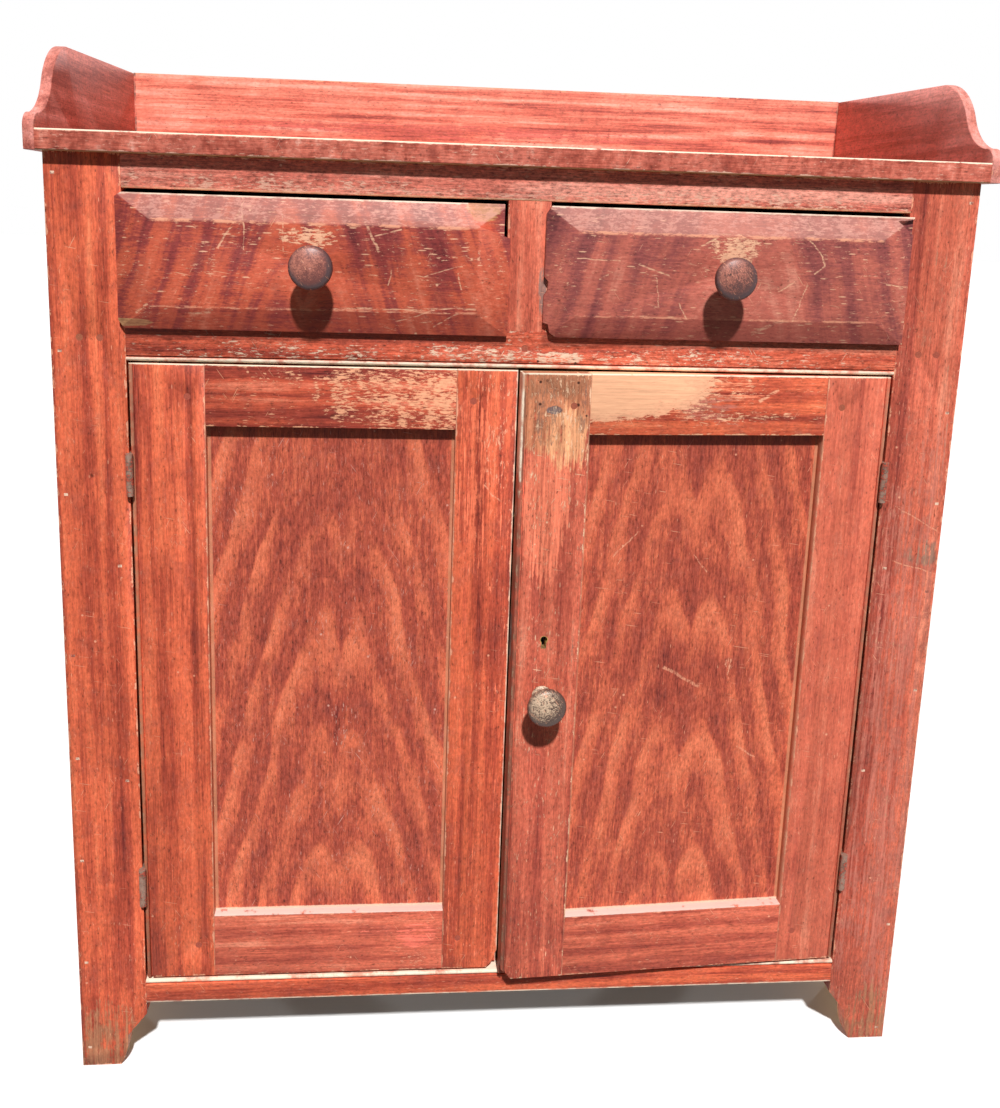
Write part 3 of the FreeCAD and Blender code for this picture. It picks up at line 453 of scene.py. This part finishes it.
def painted(
    name,
    along=2,
    figure=streaks,
    paints=orange_paints,
    bloom=0.35,
    worn=(),
    undercoat=pale_undercoat,
    bare=bare_wood,
    washed=(),
    scratched=(),
    holes=(),
    strips=(),
    edges=1.0,
    flecked=1.0,
    texture=1.25,
    grain_length=26,
    level=0.0,
    bare_side=(1, -1),
    door=False,
    seed=0.0,
):
    """Grain-painted pine: glazes, figure, wear, scratches and dirt, with the given strips,
    some of which are painted highlight and painted shadow.

    Worn and washed spots are an oval's middle x and z, its half width, half height
    and strength; scratches run from x, z to x, z with a width; holes are x, z and
    radius, all in mm. Strips give a share and a colour.
    """
    board = Paint(name, along, grain_length, door, seed)
    grain, blotch = board.grain, board.blotch
    tone = figure(board) + (board.comb - 0.5) * 0.6 + (grain - 0.5) * 0.5
    tone = tone + (blotch - 0.5) * 0.7 + (0.58 + level)
    colour = board.glazes(tone, paints, bloom, texture)
    colour = board.stains(colour, washed)
    colour = board.flecks(colour, undercoat, flecked)
    colour, rubbed = board.wear(colour, worn, undercoat, bare, edges)
    colour, marks = board.scratches(colour, undercoat, scratched)
    for strip in strips:
        share, strip_colour = strip(board)
        colour = board.mix(colour, strip_colour, share)
    colour = board.nail_holes(colour, holes)
    if bare_side:
        colour = board.bare_face(colour, *bare_side)
    rough = 0.5 + rubbed * 0.2 + (blotch - 0.5) * 0.3
    height = grain * 0.5 + board.mottle * 0.25 - rubbed * 0.4 - marks * 0.5
    give(board.surface(colour, rough, height, 0.3, shine=0.16), name)


# ---------------------------------------------------------------- bare wood, iron
def pine(name, light, deep, along, rings=22, seed=0.0):
    """Unpainted pine, aged, with its long grain along one axis."""
    f = Finish(name)
    point = f.place()
    bands = f.cloud(point, grained(along, rings, 420), 3, 0.55, seed=seed)
    fine = f.cloud(point, grained(along, 1.6, 60), 2, 0.6, seed=seed + 1)
    stain = f.cloud(point, (120, 120, 120), 4, 0.6, seed=seed + 2)
    knots = f.specks(point, (190, 190, 260), seed).below(0.03, 0.07)
    ring = (bands * 7).part()
    ring = ring.above(0.1, 0.9) * ring.below(0.9, 1)
    colour = f.mix(light, deep, ring * 0.55)
    colour = f.shade(colour, 0.7 + fine * 0.5)
    colour = f.mix(colour, old_wood, stain.above(0.45, 0.75) * 0.6)
    colour = f.mix(colour, grime_and_shade, knots * 0.7)
    height = fine * 0.5 + ring * 0.4
    return f.surface(colour, 0.72 + (stain - 0.5) * 0.2, height, 0.25, shine=0.3)


def turned(name, body, rim, rubbed, spot, spread, pit=None, door=False, seed=0.0):
    """Old turned knob: fine rings, a middle worn pale by hands, dirt and dents, with
    painted highlight toward the upper left and painted shade round the lower right rim.
    """
    f = Finish("turned_" + name)
    point = f.place(door)
    x, _, z = f.axes(point)
    low, high = shut_box(name, door)
    radius = (high[0] - low[0]) / 2
    gap_x = (x - (low[0] + high[0]) / 2) / radius
    gap_z = (z - (low[2] + high[2]) / 2) / radius
    off = diagonal(gap_x, gap_z)
    fine = f.cloud(point, (1.4, 14, 1.4), 2, 0.6, seed=seed)
    mottle = f.cloud(point, (spot, spot, spot), 4, 0.65, seed=seed + 1)
    lines = f.cloud(point, (12, 12, 1.3), 2, 0.6, 20, seed + 2)
    nicks = f.cloud(point, (1.4, 8, 9), 1, 0.5, 40, seed + 3).above(0.66, 0.7)
    rings = (off * 9 + mottle * 0.4).part()
    # pale worn middle, with a painted highlight that grows toward the upper left
    worn_and_lit = mottle + fine + (gap_z - gap_x) * 0.16 - off * 0.12
    colour = f.mix(body, rubbed, worn_and_lit.above(0.98 - spread, 0.98 + spread))
    # dark rim from dirt, with painted shade that grows toward the lower right
    dirt_and_shade = off + (mottle - 0.5) * 0.5 - (gap_z - gap_x * 0.6) * 0.14
    colour = f.mix(colour, rim, dirt_and_shade.above(0.66, 0.95))
    colour = f.shade(colour, 0.62 + fine * 0.4 + lines * 0.3 + rings * 0.06)
    colour = f.mix(colour, pale_undercoat, nicks * 0.5)
    if pit:
        away = diagonal(gap_x * radius - pit[0], gap_z * radius - pit[1])
        colour = f.mix(colour, grime_and_shade, away.below(0.7, 1.5))
    rough = 0.3 + mottle * 0.2 + nicks * 0.2
    height = fine * 0.12 + mottle * 0.15 - nicks * 0.3
    give(f.surface(colour, rough, height, 0.3), name)


def iron(name, body, rust, patina=0.0, seed=0.0, clean=0.8):
    """Forged and cast iron, dulled and freckled with rust and old paint."""
    f = Finish(name)
    point = f.place()
    cast = f.cloud(point, (2.2, 2.2, 2.2), 4, 0.7, seed=seed)
    bloom = f.cloud(point, (9, 9, 9), 4, 0.65, seed=seed + 1)
    colour = f.mix(body, rust, bloom.above(0.42, 0.62))
    colour = f.mix(colour, red_glaze, (bloom + cast).above(1.02, 1.14) * patina)
    colour = f.shade(colour, 0.7 + cast * 0.6)
    metal = bloom.below(0.42, 0.6) * clean
    return f.surface(colour, 0.42 + bloom * 0.4, cast, 0.2, metal)


# ---------------------------------------------------------------- strips of wear, painted highlight and painted shadow
def crest(far=1.4, colour=cream_wear_and_highlight, strength=0.9, back=6):
    """The pale upper edge of a board, as far back as it is rubbed: worn paint, and a
    painted highlight where light falls on the upper arris.
    """

    def strip(board):
        down = board.inset(2, -1) + (board.chips - 0.5) * far * 1.5
        share = down.below(far * 0.55, far) * board.patchy.above(0.3, 0.42)
        front = board.inset(1, 1).below(back * 0.7, back)
        return share * front * strength, colour

    return strip


def bead(axis, heading, colour=cream_wear_and_highlight, strength=0.85, width=5.0, down_to=None):
    """A rubbed bead along the low (1) or high (-1) edge of one axis."""

    def strip(board):
        off = board.inset(axis, heading) + (board.chips - 0.5) * 2.5
        kept = board.patchy.above(0.36, 0.56) * 0.7 + 0.3
        if down_to:
            fading = board.z + (board.patchy - 0.5) * 240
            kept = kept * fading.above(down_to - 20, down_to + 60)
        front = board.inset(1, 1).below(18, 22)
        return off.below(width - 1.6, width) * front * kept * strength, colour

    return strip


def ledges(bounds):
    """The edges of a sunk panel: pale strips at its sides where its frame has kept the
    paint off, a pale foot that is worn paint and a painted highlight on the ledge, and
    painted shadow under the top rail.
    """
    left, right, bottom, top = bounds

    def side(board):
        beside = (board.x - left).least(right - board.x)
        share = (beside + (board.chips - 0.5) * 2.4).below(2.8, 4.6)
        return share * 0.7, board.mix(old_wood, pale_undercoat, board.patchy)

    # pale cream along the panel's foot: worn paint and a painted highlight on the ledge
    def foot(board):
        up = board.z - bottom + (board.chips - 0.5) * 3
        return up.below(1.4, 3.2) * 0.6, cream_wear_and_highlight

    # painted shadow under the top rail, darkest at the top of the sunk panel
    def panel_top_shadow(board):
        return (top - board.z).below(0, 24) * 0.5, grime_and_shade

    return side, foot, panel_top_shadow


# ---------------------------------------------------------------- doors
def opening(side, door):
    """The part of a door's panel that shows: its left, right, bottom and top."""
    near, far = ("hinge", "meeting") if side == "left" else ("meeting", "hinge")
    return (
        shut_box(f"door_{side}_{near}_stile", door)[1][0],
        shut_box(f"door_{side}_{far}_stile", door)[0][0],
        shut_box(f"door_{side}_bottom_rail", door)[1][2],
        shut_box(f"door_{side}_top_rail", door)[0][2],
    )


# pale pink for the door rails' top ledges: worn paint and a painted highlight on the upward
# face
lit_worn_ledge_pink = tint(226, 200, 188)
bead_wood = tint(166, 126, 98)
inner_arris = tint(206, 150, 120)
painted(
    "door_left_panel",
    figure=lambda board: arches(board, -211, 758, 149, 0.29),
    paints=panel_paints,
    texture=1.5,
    grain_length=11,
    strips=ledges(opening("left", False)),
    worn=((-206, 470, 18, 60, 0.5),),
    undercoat=tint(230, 168, 150),
    edges=0,
    seed=1,
)
painted(
    "door_right_panel",
    figure=lambda board: arches(board, 222, 842, 178, 0.22, 24),
    paints=panel_paints,
    texture=1.5,
    grain_length=11,
    strips=ledges(opening("right", True)),
    worn=((278, 540, 8, 26, 0.62),),
    scratched=(
        (194, 542, 239, 518, 2.6),
        (222, 690, 240, 668, 1.0),
        (298, 432, 322, 418, 1.6),
        (120, 690, 150, 720, 1.2),
    ),
    edges=0,
    door=True,
    seed=5,
)
painted(
    "door_left_hinge_stile",
    strips=(crest(), bead(0, 1, bead_wood, 0.6), bead(0, -1, inner_arris, 0.7, 1.8)),
    seed=9,
)
painted(
    "door_left_meeting_stile",
    strips=(crest(), bead(0, 1, inner_arris, 0.7, 1.8), bead(0, -1, cream_wear_and_highlight, 0.6, 1.8)),
    worn=((-40, 892, 50, 34, 0.52), (-26, 810, 20, 90, 0.6), (-60, 250, 40, 60, 0.3)),
    washed=(((-50, 800, 34, 120, 0.3), tint(236, 120, 86)),),
    scratched=((-39, 775, -30, 763, 1.3), (-30, 763, -19, 757, 1.3)),
    seed=12,
)
painted(
    "door_left_top_rail",
    along=0,
    strips=(crest(),),
    paints=rail_paints,
    worn=((-150, 888, 130, 74, 0.72), (-96, 876, 40, 60, 0.85), (-250, 900, 100, 20, 0.5)),
    undercoat=tint(250, 178, 138),
    bare=tint(246, 190, 140),
    flecked=1.5,
    seed=14,
)
painted(
    "door_left_bottom_rail",
    along=0,
    # the rail's whole top ledge in pale pink: worn paint and a painted highlight
    strips=(crest(1.2, lit_worn_ledge_pink, back=60),),
    worn=((-110, 140, 30, 16, 0.5),),
    paints=pink_paints,
    washed=(((-108, 176, 26, 18, 0.5), tint(234, 116, 96)),),
    level=0.06,
    seed=16,
)
painted(
    "door_right_meeting_stile",
    door=True,
    paints=pink_paints,
    level=-0.04,
    strips=(
        crest(),
        bead(0, 1, tint(116, 82, 66), 0.75, 6.5),
        bead(0, 1, cream_wear_and_highlight, 0.9, 3.0, 770),
        bead(0, -1, inner_arris, 0.7, 1.8),
    ),
    undercoat=tint(252, 206, 168),
    washed=(
        ((32, 756, 32, 100, 0.9), tint(246, 134, 102)),
        ((40, 880, 70, 66, 1.2), tint(212, 138, 100)),
        ((56, 842, 34, 44, 0.7), tint(240, 170, 124)),
        ((34, 906, 60, 24, 0.6), tint(168, 112, 84)),
        ((28, 872, 14, 40, 0.3), tint(122, 88, 74)),
        ((72, 874, 8, 30, 0.4), tint(132, 92, 78)),
        ((37, 872, 11, 5, 1.3), tint(108, 98, 100)),
    ),
    worn=((16, 770, 10, 150, 0.5), (36, 880, 46, 56, 0.5), (62, 830, 20, 70, 0.5)),
    texture=1.3,
    flecked=1.4,
    holes=(
        (19.4, 904.9, 1.8),
        (64, 904.3, 1.8),
        (19.8, 878.9, 1.8),
        (64.8, 878.2, 2.2),
        (75.4, 865.4, 1.4),
    ),
    seed=18,
)
painted(
    "door_right_hinge_stile",
    door=True,
    figure=lambda board: streaks(board, 18, 760, 0.45),
    paints=pink_paints,
    texture=0.9,
    level=0.08,
    strips=(crest(), bead(0, -1, bead_wood, 0.5), bead(0, 1, inner_arris, 0.7, 1.8)),
    seed=21,
)
painted(
    "door_right_top_rail",
    along=0,
    door=True,
    strips=(crest(),),
    worn=((84, 908, 164, 56, 2.0), (190, 900, 130, 40, 0.62), (250, 866, 150, 10, 0.6)),
    undercoat=tint(255, 190, 150),
    bare=tint(255, 192, 150),
    washed=(
        ((150, 900, 130, 44, 0.6), tint(242, 142, 106)),
        ((222, 878, 40, 18, 0.4), tint(168, 96, 84)),
    ),
    scratched=(
        (212, 888, 236, 898, 1.6),
        (286, 884, 306, 896, 2.6),
        (210, 862, 330, 866, 1.0),
        (150, 904, 206, 914, 1.0),
    ),
    seed=24,
)
painted(
    "door_right_bottom_rail",
    along=0,
    door=True,
    paints=pink_paints,
    # the rail's whole top ledge in pale pink: worn paint and a painted highlight
    strips=(crest(1.2, lit_worn_ledge_pink, back=60),),
    level=-0.04,
    seed=26,
)

# ---------------------------------------------------------------- case
tan_foot = tint(168, 116, 86)
painted("stile_left", seed=30, washed=(((-500, 10, 46, 90, 0.6), tan_foot),))
painted(
    "stile_right",
    figure=lambda board: streaks(board, 18, 900, 0.75),
    paints=pink_paints,
    level=0.02,
    washed=(
        ((505, 430, 80, 430, 0.45), tint(184, 106, 90)),
        ((518, 694, 26, 16, 0.4), tint(150, 116, 98)),
        ((505, 10, 40, 70, 0.45), tan_foot),
    ),
    scratched=((473, 685, 535, 665, 1.2), (472, 755, 536, 717, 1.0)),
    seed=33,
)
painted(
    "top_rail",
    along=0,
    paints=dusty_paints,
    worn=((-280, 1110, 340, 26, 0.64), (230, 1108, 340, 26, 0.68)),
    undercoat=tint(240, 184, 160),
    strips=(bead(2, 1, tint(226, 178, 138), 0.7, 2.8),),
    texture=2.2,
    flecked=2.2,
    level=0.32,
    seed=36,
)


def shadow_under_drawers(board):
    """Painted shadow on the rail under the drawers' lips."""
    share = 0.0
    for side in ("left", "right"):
        low, high = shut_box(f"drawer_{side}_front")
        along = (board.x - low[0]).least(high[0] - board.x).above(-2, 4)
        down = low[2] - board.z + (board.patchy - 0.5) * 4
        share = along * down.below(9, 14) + share
    return share * board.y.below(0.5, 1) * 0.5, tint(84, 32, 30)


painted(
    "mid_rail",
    along=0,
    paints=rail_paints,
    worn=(
        (44, 930, 40, 11, 0.84),
        (-60, 927, 110, 24, 0.66),
        (200, 927, 200, 24, 0.6),
        (-260, 924, 220, 24, 0.6),
    ),
    undercoat=tint(236, 202, 174),
    # painted shadow under the drawers' lips, and a cream bead along the rail's foot that is
    # worn paint and a painted highlight
    strips=(shadow_under_drawers, bead(2, 1)),
    holes=((18.5, 925.6, 1.6), (63, 924.3, 1.6)),
    texture=2.0,
    flecked=2.0,
    level=0.12,
    seed=38,
)
painted(
    "bottom_rail",
    along=0,
    # cream beads along the rail's top and bottom edges: worn paint and painted highlights
    strips=(bead(2, -1), bead(2, 1, width=2.6)),
    texture=1.4,
    seed=40,
)
painted(
    "drawer_muntin",
    paints=pink_paints,
    washed=(((22, 1010, 8, 34, 0.5), grey_scuff),),
    level=0.2,
    seed=42,
)
painted(
    "top_board",
    along=0,
    figure=short_bars,
    paints=top_paints,
    worn=((0, 1190, 620, 40, 0.34),),
    undercoat=tint(248, 196, 170),
    # the front upper arris in pale cream: worn paint and a painted highlight
    strips=(crest(1.8),),
    edges=1.3,
    flecked=1.5,
    bare_side=(2, 1),
    seed=44,
)
joint_dirt = tint(104, 88, 82)
painted(
    "gallery_back",
    along=0,
    figure=lambda board: streaks(board, 9, 260, 1.2),
    paints=gallery_paints,
    washed=(((-60, 1212, 420, 12, 0.45), tint(196, 100, 90)),),
    strips=(bead(0, 1, joint_dirt, 0.8, 3.6), bead(0, -1, joint_dirt, 0.5, 3.0)),
    flecked=0.6,
    level=0.06,
    bare_side=None,
    seed=46,
)
for side, level, seed in (("left", 0.14, 48), ("right", 0.4, 50)):
    painted(
        f"gallery_side_{side}",
        along=1,
        paints=ogee_paints,
        flecked=0.8,
        level=level,
        bare_side=None,
        seed=seed,
    )
for side, heading, seed in (("left", -1, 52), ("right", 1, 54)):
    painted(
        f"side_{side}",
        figure=lambda board: streaks(board, 30, 620, 0.8),
        bare_side=(0, heading),
        seed=seed,
    )

# ---------------------------------------------------------------- drawer fronts
drawer_marks = {
    "left": (
        (-321, 1087, -345, 1047, 1.6),
        (-184, 1079, -168, 1048, 2.0),
        (-274, 1089, -274, 1045, 0.8),
        (-318, 1104, -317, 1048, 0.8),
        (-172, 1065, -144, 1072, 1.0),
        (-124, 1020, -75, 1033, 0.9),
        (-79, 1024, -74, 1004, 1.2),
        (-153, 1027, -158, 1011, 1.1),
        (-217, 982, -57, 985, 1.6),
        (-436, 973, -424, 982, 2.0),
        (-147, 970, -104, 983, 1.1),
        (-104, 964, -77, 979, 1.3),
        (-378, 974, -355, 976, 2.0),
        (-55, 1051, -54, 1042, 1.8),
    ),
    "right": (
        (328, 1074, 345, 1057, 1.2),
        (345, 1057, 348, 1045, 1.2),
        (348, 1045, 337, 1036, 1.2),
        (329, 1023, 315, 981, 1.0),
        (129, 1041, 163, 1030, 1.4),
        (197, 1063, 216, 1072, 1.4),
        (313, 1028, 296, 1015, 1.0),
        (270, 965, 303, 980, 3.0),
        (426, 1026, 454, 1023, 1.1),
        (179, 997, 188, 980, 0.9),
        (150, 1027, 155, 994, 0.8),
        (86, 1024, 95, 1030, 1.2),
        (58, 1047, 106, 1046, 0.9),
    ),
}
drawer_wear = {
    "left": (
        (-247, 1062, 42, 18, 0.8),
        (-91, 1042, 18, 9, 0.55),
        (-404, 1055, 20, 9, 0.5),
        (-420, 976, 30, 10, 0.5),
    ),
    "right": ((240, 1062, 38, 26, 0.86), (214, 1038, 14, 20, 0.5), (80, 1090, 20, 8, 0.5)),
}
drawer_stains = {
    "left": (
        ((-50, 1099, 22, 15, 1.3), tint(196, 148, 98)),
        ((-458, 962, 44, 5, 1.4), tint(196, 148, 104)),
    ),
    "right": (((470, 1092, 16, 12, 0.6), tint(190, 136, 96)),),
}


# A bevel runs from 0 at the board's side to 1 at its ridge.
def ridge(board):
    """Rubbed ridges along the top and foot of a raised drawer front."""
    end = board.from_ends(0) / bevel_end
    loose = (board.chips - 0.5) * 0.16
    top = abs(board.inset(2, -1) / bevel_top - 1 + loose).below(0.03, 0.09)
    foot = abs(board.inset(2, 1) / bevel_foot - 1 + loose).below(0.02, 0.07)
    rubbed = (board.chips + board.patchy).above(0.9, 1.08)
    return (top + foot * 0.7) * end.above(0.9, 1.1) * rubbed * 0.8, pale_undercoat


def lit_upper_bevel(board):
    """Painted highlight on the bevel along a drawer front's top: pinkish, stronger where
    the paint is faded.
    """
    end = board.from_ends(0) / bevel_end
    down = board.inset(2, -1) / bevel_top
    on_it = down.below(0.94, 1.04) * (end - down).above(-0.04, 0.04)
    faded = (board.chips + board.mottle + board.patchy).above(1.46, 1.66)
    return on_it * (0.34 + faded * 0.3), tint(242, 176, 160)


def shaded_lower_bevel(board):
    """Painted shade on the bevel along a drawer front's foot, which faces down, away from
    the light.
    """
    end = board.from_ends(0) / bevel_end
    up = board.inset(2, 1) / bevel_foot
    on_it = up.below(0.92, 1.0) * (end - up).above(-0.04, 0.04)
    return on_it * 0.42, tint(104, 38, 36)


def lip(board):
    """The pale upper edge of a drawer front's lip: worn bare, with a painted highlight
    where light catches the top edge.
    """
    down = board.inset(2, -1) + (board.chips - 0.5) * 5
    share = down.below(1.0, 2.2) * board.y.below(-1, 0)
    return share * (0.4 + board.patchy.above(0.36, 0.5) * 0.5), tint(250, 222, 198)


for side, middle, depth, lift, paints, seed in (
    ("left", -250, 0.62, 0.13, red_drawer_paints, 60),
    ("right", 242, 0.48, 0.0, plum_drawer_paints, 64),
):
    painted(
        f"drawer_{side}_front",
        along=0,
        figure=lambda board: fan(board, middle, depth, lift),
        paints=paints,
        bloom=0.4,
        worn=drawer_wear[side],
        undercoat=tint(246, 190, 154),
        bare=tint(250, 190, 142),
        scratched=drawer_marks[side],
        washed=drawer_stains[side],
        # a painted highlight on the top bevel, painted shade on the foot bevel, worn
        # ridges, and a lip that is worn and painted highlight
        strips=(lit_upper_bevel, shaded_lower_bevel, ridge, lip),
        edges=1.2,
        flecked=1.9,
        texture=0.8,
        level=-0.03,
        grain_length=8,
        seed=seed,
    )

# ---------------------------------------------------------------- inside and iron
shelf_pine = pine("shelf_pine", tint(214, 176, 128), tint(176, 130, 84), along=0, seed=2)
give(shelf_pine, "shelf_lower", "shelf_upper", "bottom_board", "rear_rail")
back_pine = pine(
    "back_pine", tint(184, 150, 110), tint(140, 104, 70), along=2, rings=30, seed=4
)
give(back_pine, "back_boards")
runner_pine = pine("runner_pine", tint(206, 168, 120), tint(168, 122, 80), along=1, seed=6)
give(runner_pine, "shelf_cleats", "drawer_runners", "drawer_kickers")
box_pine = pine("box_pine", tint(220, 184, 136), tint(184, 138, 92), along=1, seed=8)
base_pine = pine("base_pine", tint(216, 178, 130), tint(180, 134, 88), along=0, seed=10)
for side in ("left", "right"):
    give(box_pine, f"drawer_{side}_side_left", f"drawer_{side}_side_right")
    give(base_pine, f"drawer_{side}_back", f"drawer_{side}_bottom")
peg_wood = pine("peg_wood", tint(186, 92, 72), tint(136, 62, 52), along=1, rings=4, seed=12)
give(peg_wood, "frame_pegs", "door_left_pegs", "door_right_pegs")

# knob colours: the rim carries dirt and painted shade, the rubbed middle wear and a painted
# highlight
for side, body, pit, seed in (
    ("left", tint(116, 62, 56), None, 2),
    ("right", tint(92, 54, 50), (-9.6, 5.8), 4),
):
    turned(
        f"drawer_{side}_knob",
        body,
        rim=tint(80, 54, 56),
        rubbed=tint(184, 114, 96),
        spot=9,
        spread=0.26,
        pit=pit,
        seed=seed,
    )
# the door knob's rim and rubbed colours likewise carry painted shade and painted highlight
turned(
    "door_right_knob",
    body=tint(82, 58, 48),
    rim=tint(84, 64, 56),
    rubbed=tint(206, 176, 148),
    spot=3.6,
    spread=0.16,
    door=True,
    seed=6,
)

hinge_iron = iron(
    "hinge_iron", tint(156, 124, 108), tint(104, 70, 56), patina=0.8, seed=1, clean=0.3
)
give(hinge_iron, "hinge_frame_leaves", "hinge_pins")
give(hinge_iron, "door_left_hinge_leaves", "door_right_hinge_leaves")
screw_iron = iron(
    "screw_iron", tint(150, 138, 128), tint(110, 76, 60), patina=0.3, seed=3
)
give(screw_iron, "hinge_screws_frame")
give(screw_iron, "door_left_hinge_screws", "door_right_hinge_screws")
nail_iron = iron(
    "nail_iron", tint(244, 206, 178), tint(128, 74, 60), patina=0.4, seed=5, clean=0.0
)
give(nail_iron, "cut_nails")
lock_iron = iron("lock_iron", tint(112, 106, 102), tint(104, 74, 58), seed=7)
give(lock_iron, "door_right_lock_case", "door_right_lock_plate", "door_right_lock_bolt")
give(lock_iron, "door_left_bolt_plate")
brass = iron("old_brass", tint(190, 150, 88), tint(120, 92, 56), seed=9)
give(brass, "door_left_slide_bolt", "door_right_keyhole_liner")


# ---------------------------------------------------------------- arris softening
def soften(name, width):
    """Joins a board's facets into whole faces and rounds its arrises."""
    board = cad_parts[name]
    weld = board.modifiers.new("joined corners", "WELD")
    weld.merge_threshold = 0.02 * MM
    plain = board.modifiers.new("whole faces", "DECIMATE")
    plain.decimate_type = "DISSOLVE"
    plain.angle_limit = math.radians(0.4)
    arris = board.modifiers.new("worn arris", "BEVEL")
    arris.width = width * MM
    arris.segments = 2
    arris.limit_method = "ANGLE"
    arris.angle_limit = math.radians(40)
    arris.harden_normals = True
    for face in board.data.polygons:
        face.use_smooth = True


planks = (
    "back_boards bottom_board shelf_lower shelf_upper rear_rail shelf_cleats "
    "drawer_runners drawer_kickers drawer_left_back drawer_left_bottom "
    "drawer_left_side_left drawer_left_side_right drawer_right_back "
    "drawer_right_bottom drawer_right_side_left drawer_right_side_right"
).split()
for name in planks:
    soften(name, plank_arris)
boards = (
    "stile_left stile_right top_rail mid_rail bottom_rail drawer_muntin top_board "
    "gallery_back gallery_side_left gallery_side_right side_left side_right "
    "door_left_hinge_stile door_left_meeting_stile door_left_top_rail "
    "door_left_bottom_rail door_right_hinge_stile door_right_meeting_stile "
    "door_right_top_rail door_right_bottom_rail drawer_left_front drawer_right_front"
).split()
for name in boards:
    soften(name, board_arris)


# ---------------------------------------------------------------- floor and light
def to_camera(finish):
    """1 on what the camera sees, straight or in a polished surface."""
    straight = finish.node("ShaderNodeLightPath", None, (), "Is Camera Ray")
    mirrored = finish.node("ShaderNodeLightPath", None, (), "Is Glossy Ray")
    through = finish.node("ShaderNodeLightPath", None, (), "Is Transmission Ray")
    return straight.most(mirrored).most(through)


floor_reach = 30.0    # metres
mesh = bpy.data.meshes.new("floor")
ways = ((-1, -1), (1, -1), (1, 1), (-1, 1))
corners = [(x * floor_reach, y * floor_reach, 0) for x, y in ways]
mesh.from_pydata(corners, [], [(0, 1, 2, 3)])
floor = bpy.data.objects.new("floor", mesh)
bpy.context.scene.collection.objects.link(floor)
pale = Finish("pale_floor")
cloudy = pale.cloud(pale.place(), (900, 900, 900), 2)
seen_floor = pale.mix(tint(246, 246, 246), tint(252, 252, 252), cloudy)
lighting_floor = tint(84, 82, 80)    # what it throws back on the cupboard
floor_colour = pale.mix(lighting_floor, seen_floor, to_camera(pale))
mesh.materials.append(pale.surface(floor_colour, 0.8, cloudy, 0.1, shine=0.1))

fill = 0.09    # the sky's share of the light
world = bpy.data.worlds.new("studio")
world.use_nodes = True
bpy.context.scene.world = world
studio = Finish("studio", world.node_tree)
strength = fill + to_camera(studio) * (1 - fill)
sky = studio.node("ShaderNodeBackground", None, ((1, 1, 1, 1), strength))
studio.node("ShaderNodeOutputWorld", None, {"Surface": sky}, None)


def sunlight(name, energy, direction):
    """A sun that shines along a direction, with slightly soft shadows."""
    sun = bpy.data.lights.new(name, "SUN")
    sun.angle = math.radians(3)
    sun.energy = energy
    lamp = bpy.data.objects.new(name, sun)
    bpy.context.scene.collection.objects.link(lamp)
    lamp.rotation_mode = "QUATERNION"
    lamp.rotation_quaternion = Vector(direction).to_track_quat("-Z", "Y")


front_energy, rear_energy = 4.4, 2.1
sunlight("key", front_energy, (-0.02, 0.634, -0.773))
# low enough behind to graze the floor, so that they light the back alone
sunlight("behind left", rear_energy, (0.7, -0.7, -0.06))
sunlight("behind right", rear_energy, (-0.7, -0.7, -0.06))

# ---------------------------------------------------------------- camera
yaw, pitch, roll = (math.radians(angle) for angle in (5.0249, 10.8742, 1.8227))
ahead = Vector(
    (
        math.sin(yaw) * math.cos(pitch),
        math.cos(yaw) * math.cos(pitch),
        -math.sin(pitch),
    )
)
sideways = Vector((math.cos(yaw), -math.sin(yaw), 0))
upright = sideways.cross(ahead)
right = math.cos(roll) * sideways + math.sin(roll) * upright
up = -math.sin(roll) * sideways + math.cos(roll) * upright
picture_width, picture_height = 1000, 1108    # these three lines are in pixels
focal = 1068.80
centre_x, centre_y = 483.09, 415.81           # where the lens points
optics = bpy.data.cameras.new("camera")
optics.sensor_width = 36
optics.lens = focal * optics.sensor_width / picture_height
optics.shift_x = (picture_width / 2 - centre_x) / picture_height
optics.shift_y = (centre_y - picture_height / 2) / picture_height
camera = bpy.data.objects.new("camera", optics)
bpy.context.scene.collection.objects.link(camera)
stand = Vector((-151.757, face_y - 1229.204, 1096.848)) * MM
facing = Matrix((right, up, -ahead)).transposed().to_4x4()
camera.matrix_world = Matrix.Translation(stand) @ facing
bpy.context.scene.camera = camera

bpy.context.scene.view_settings.view_transform = "Standard"
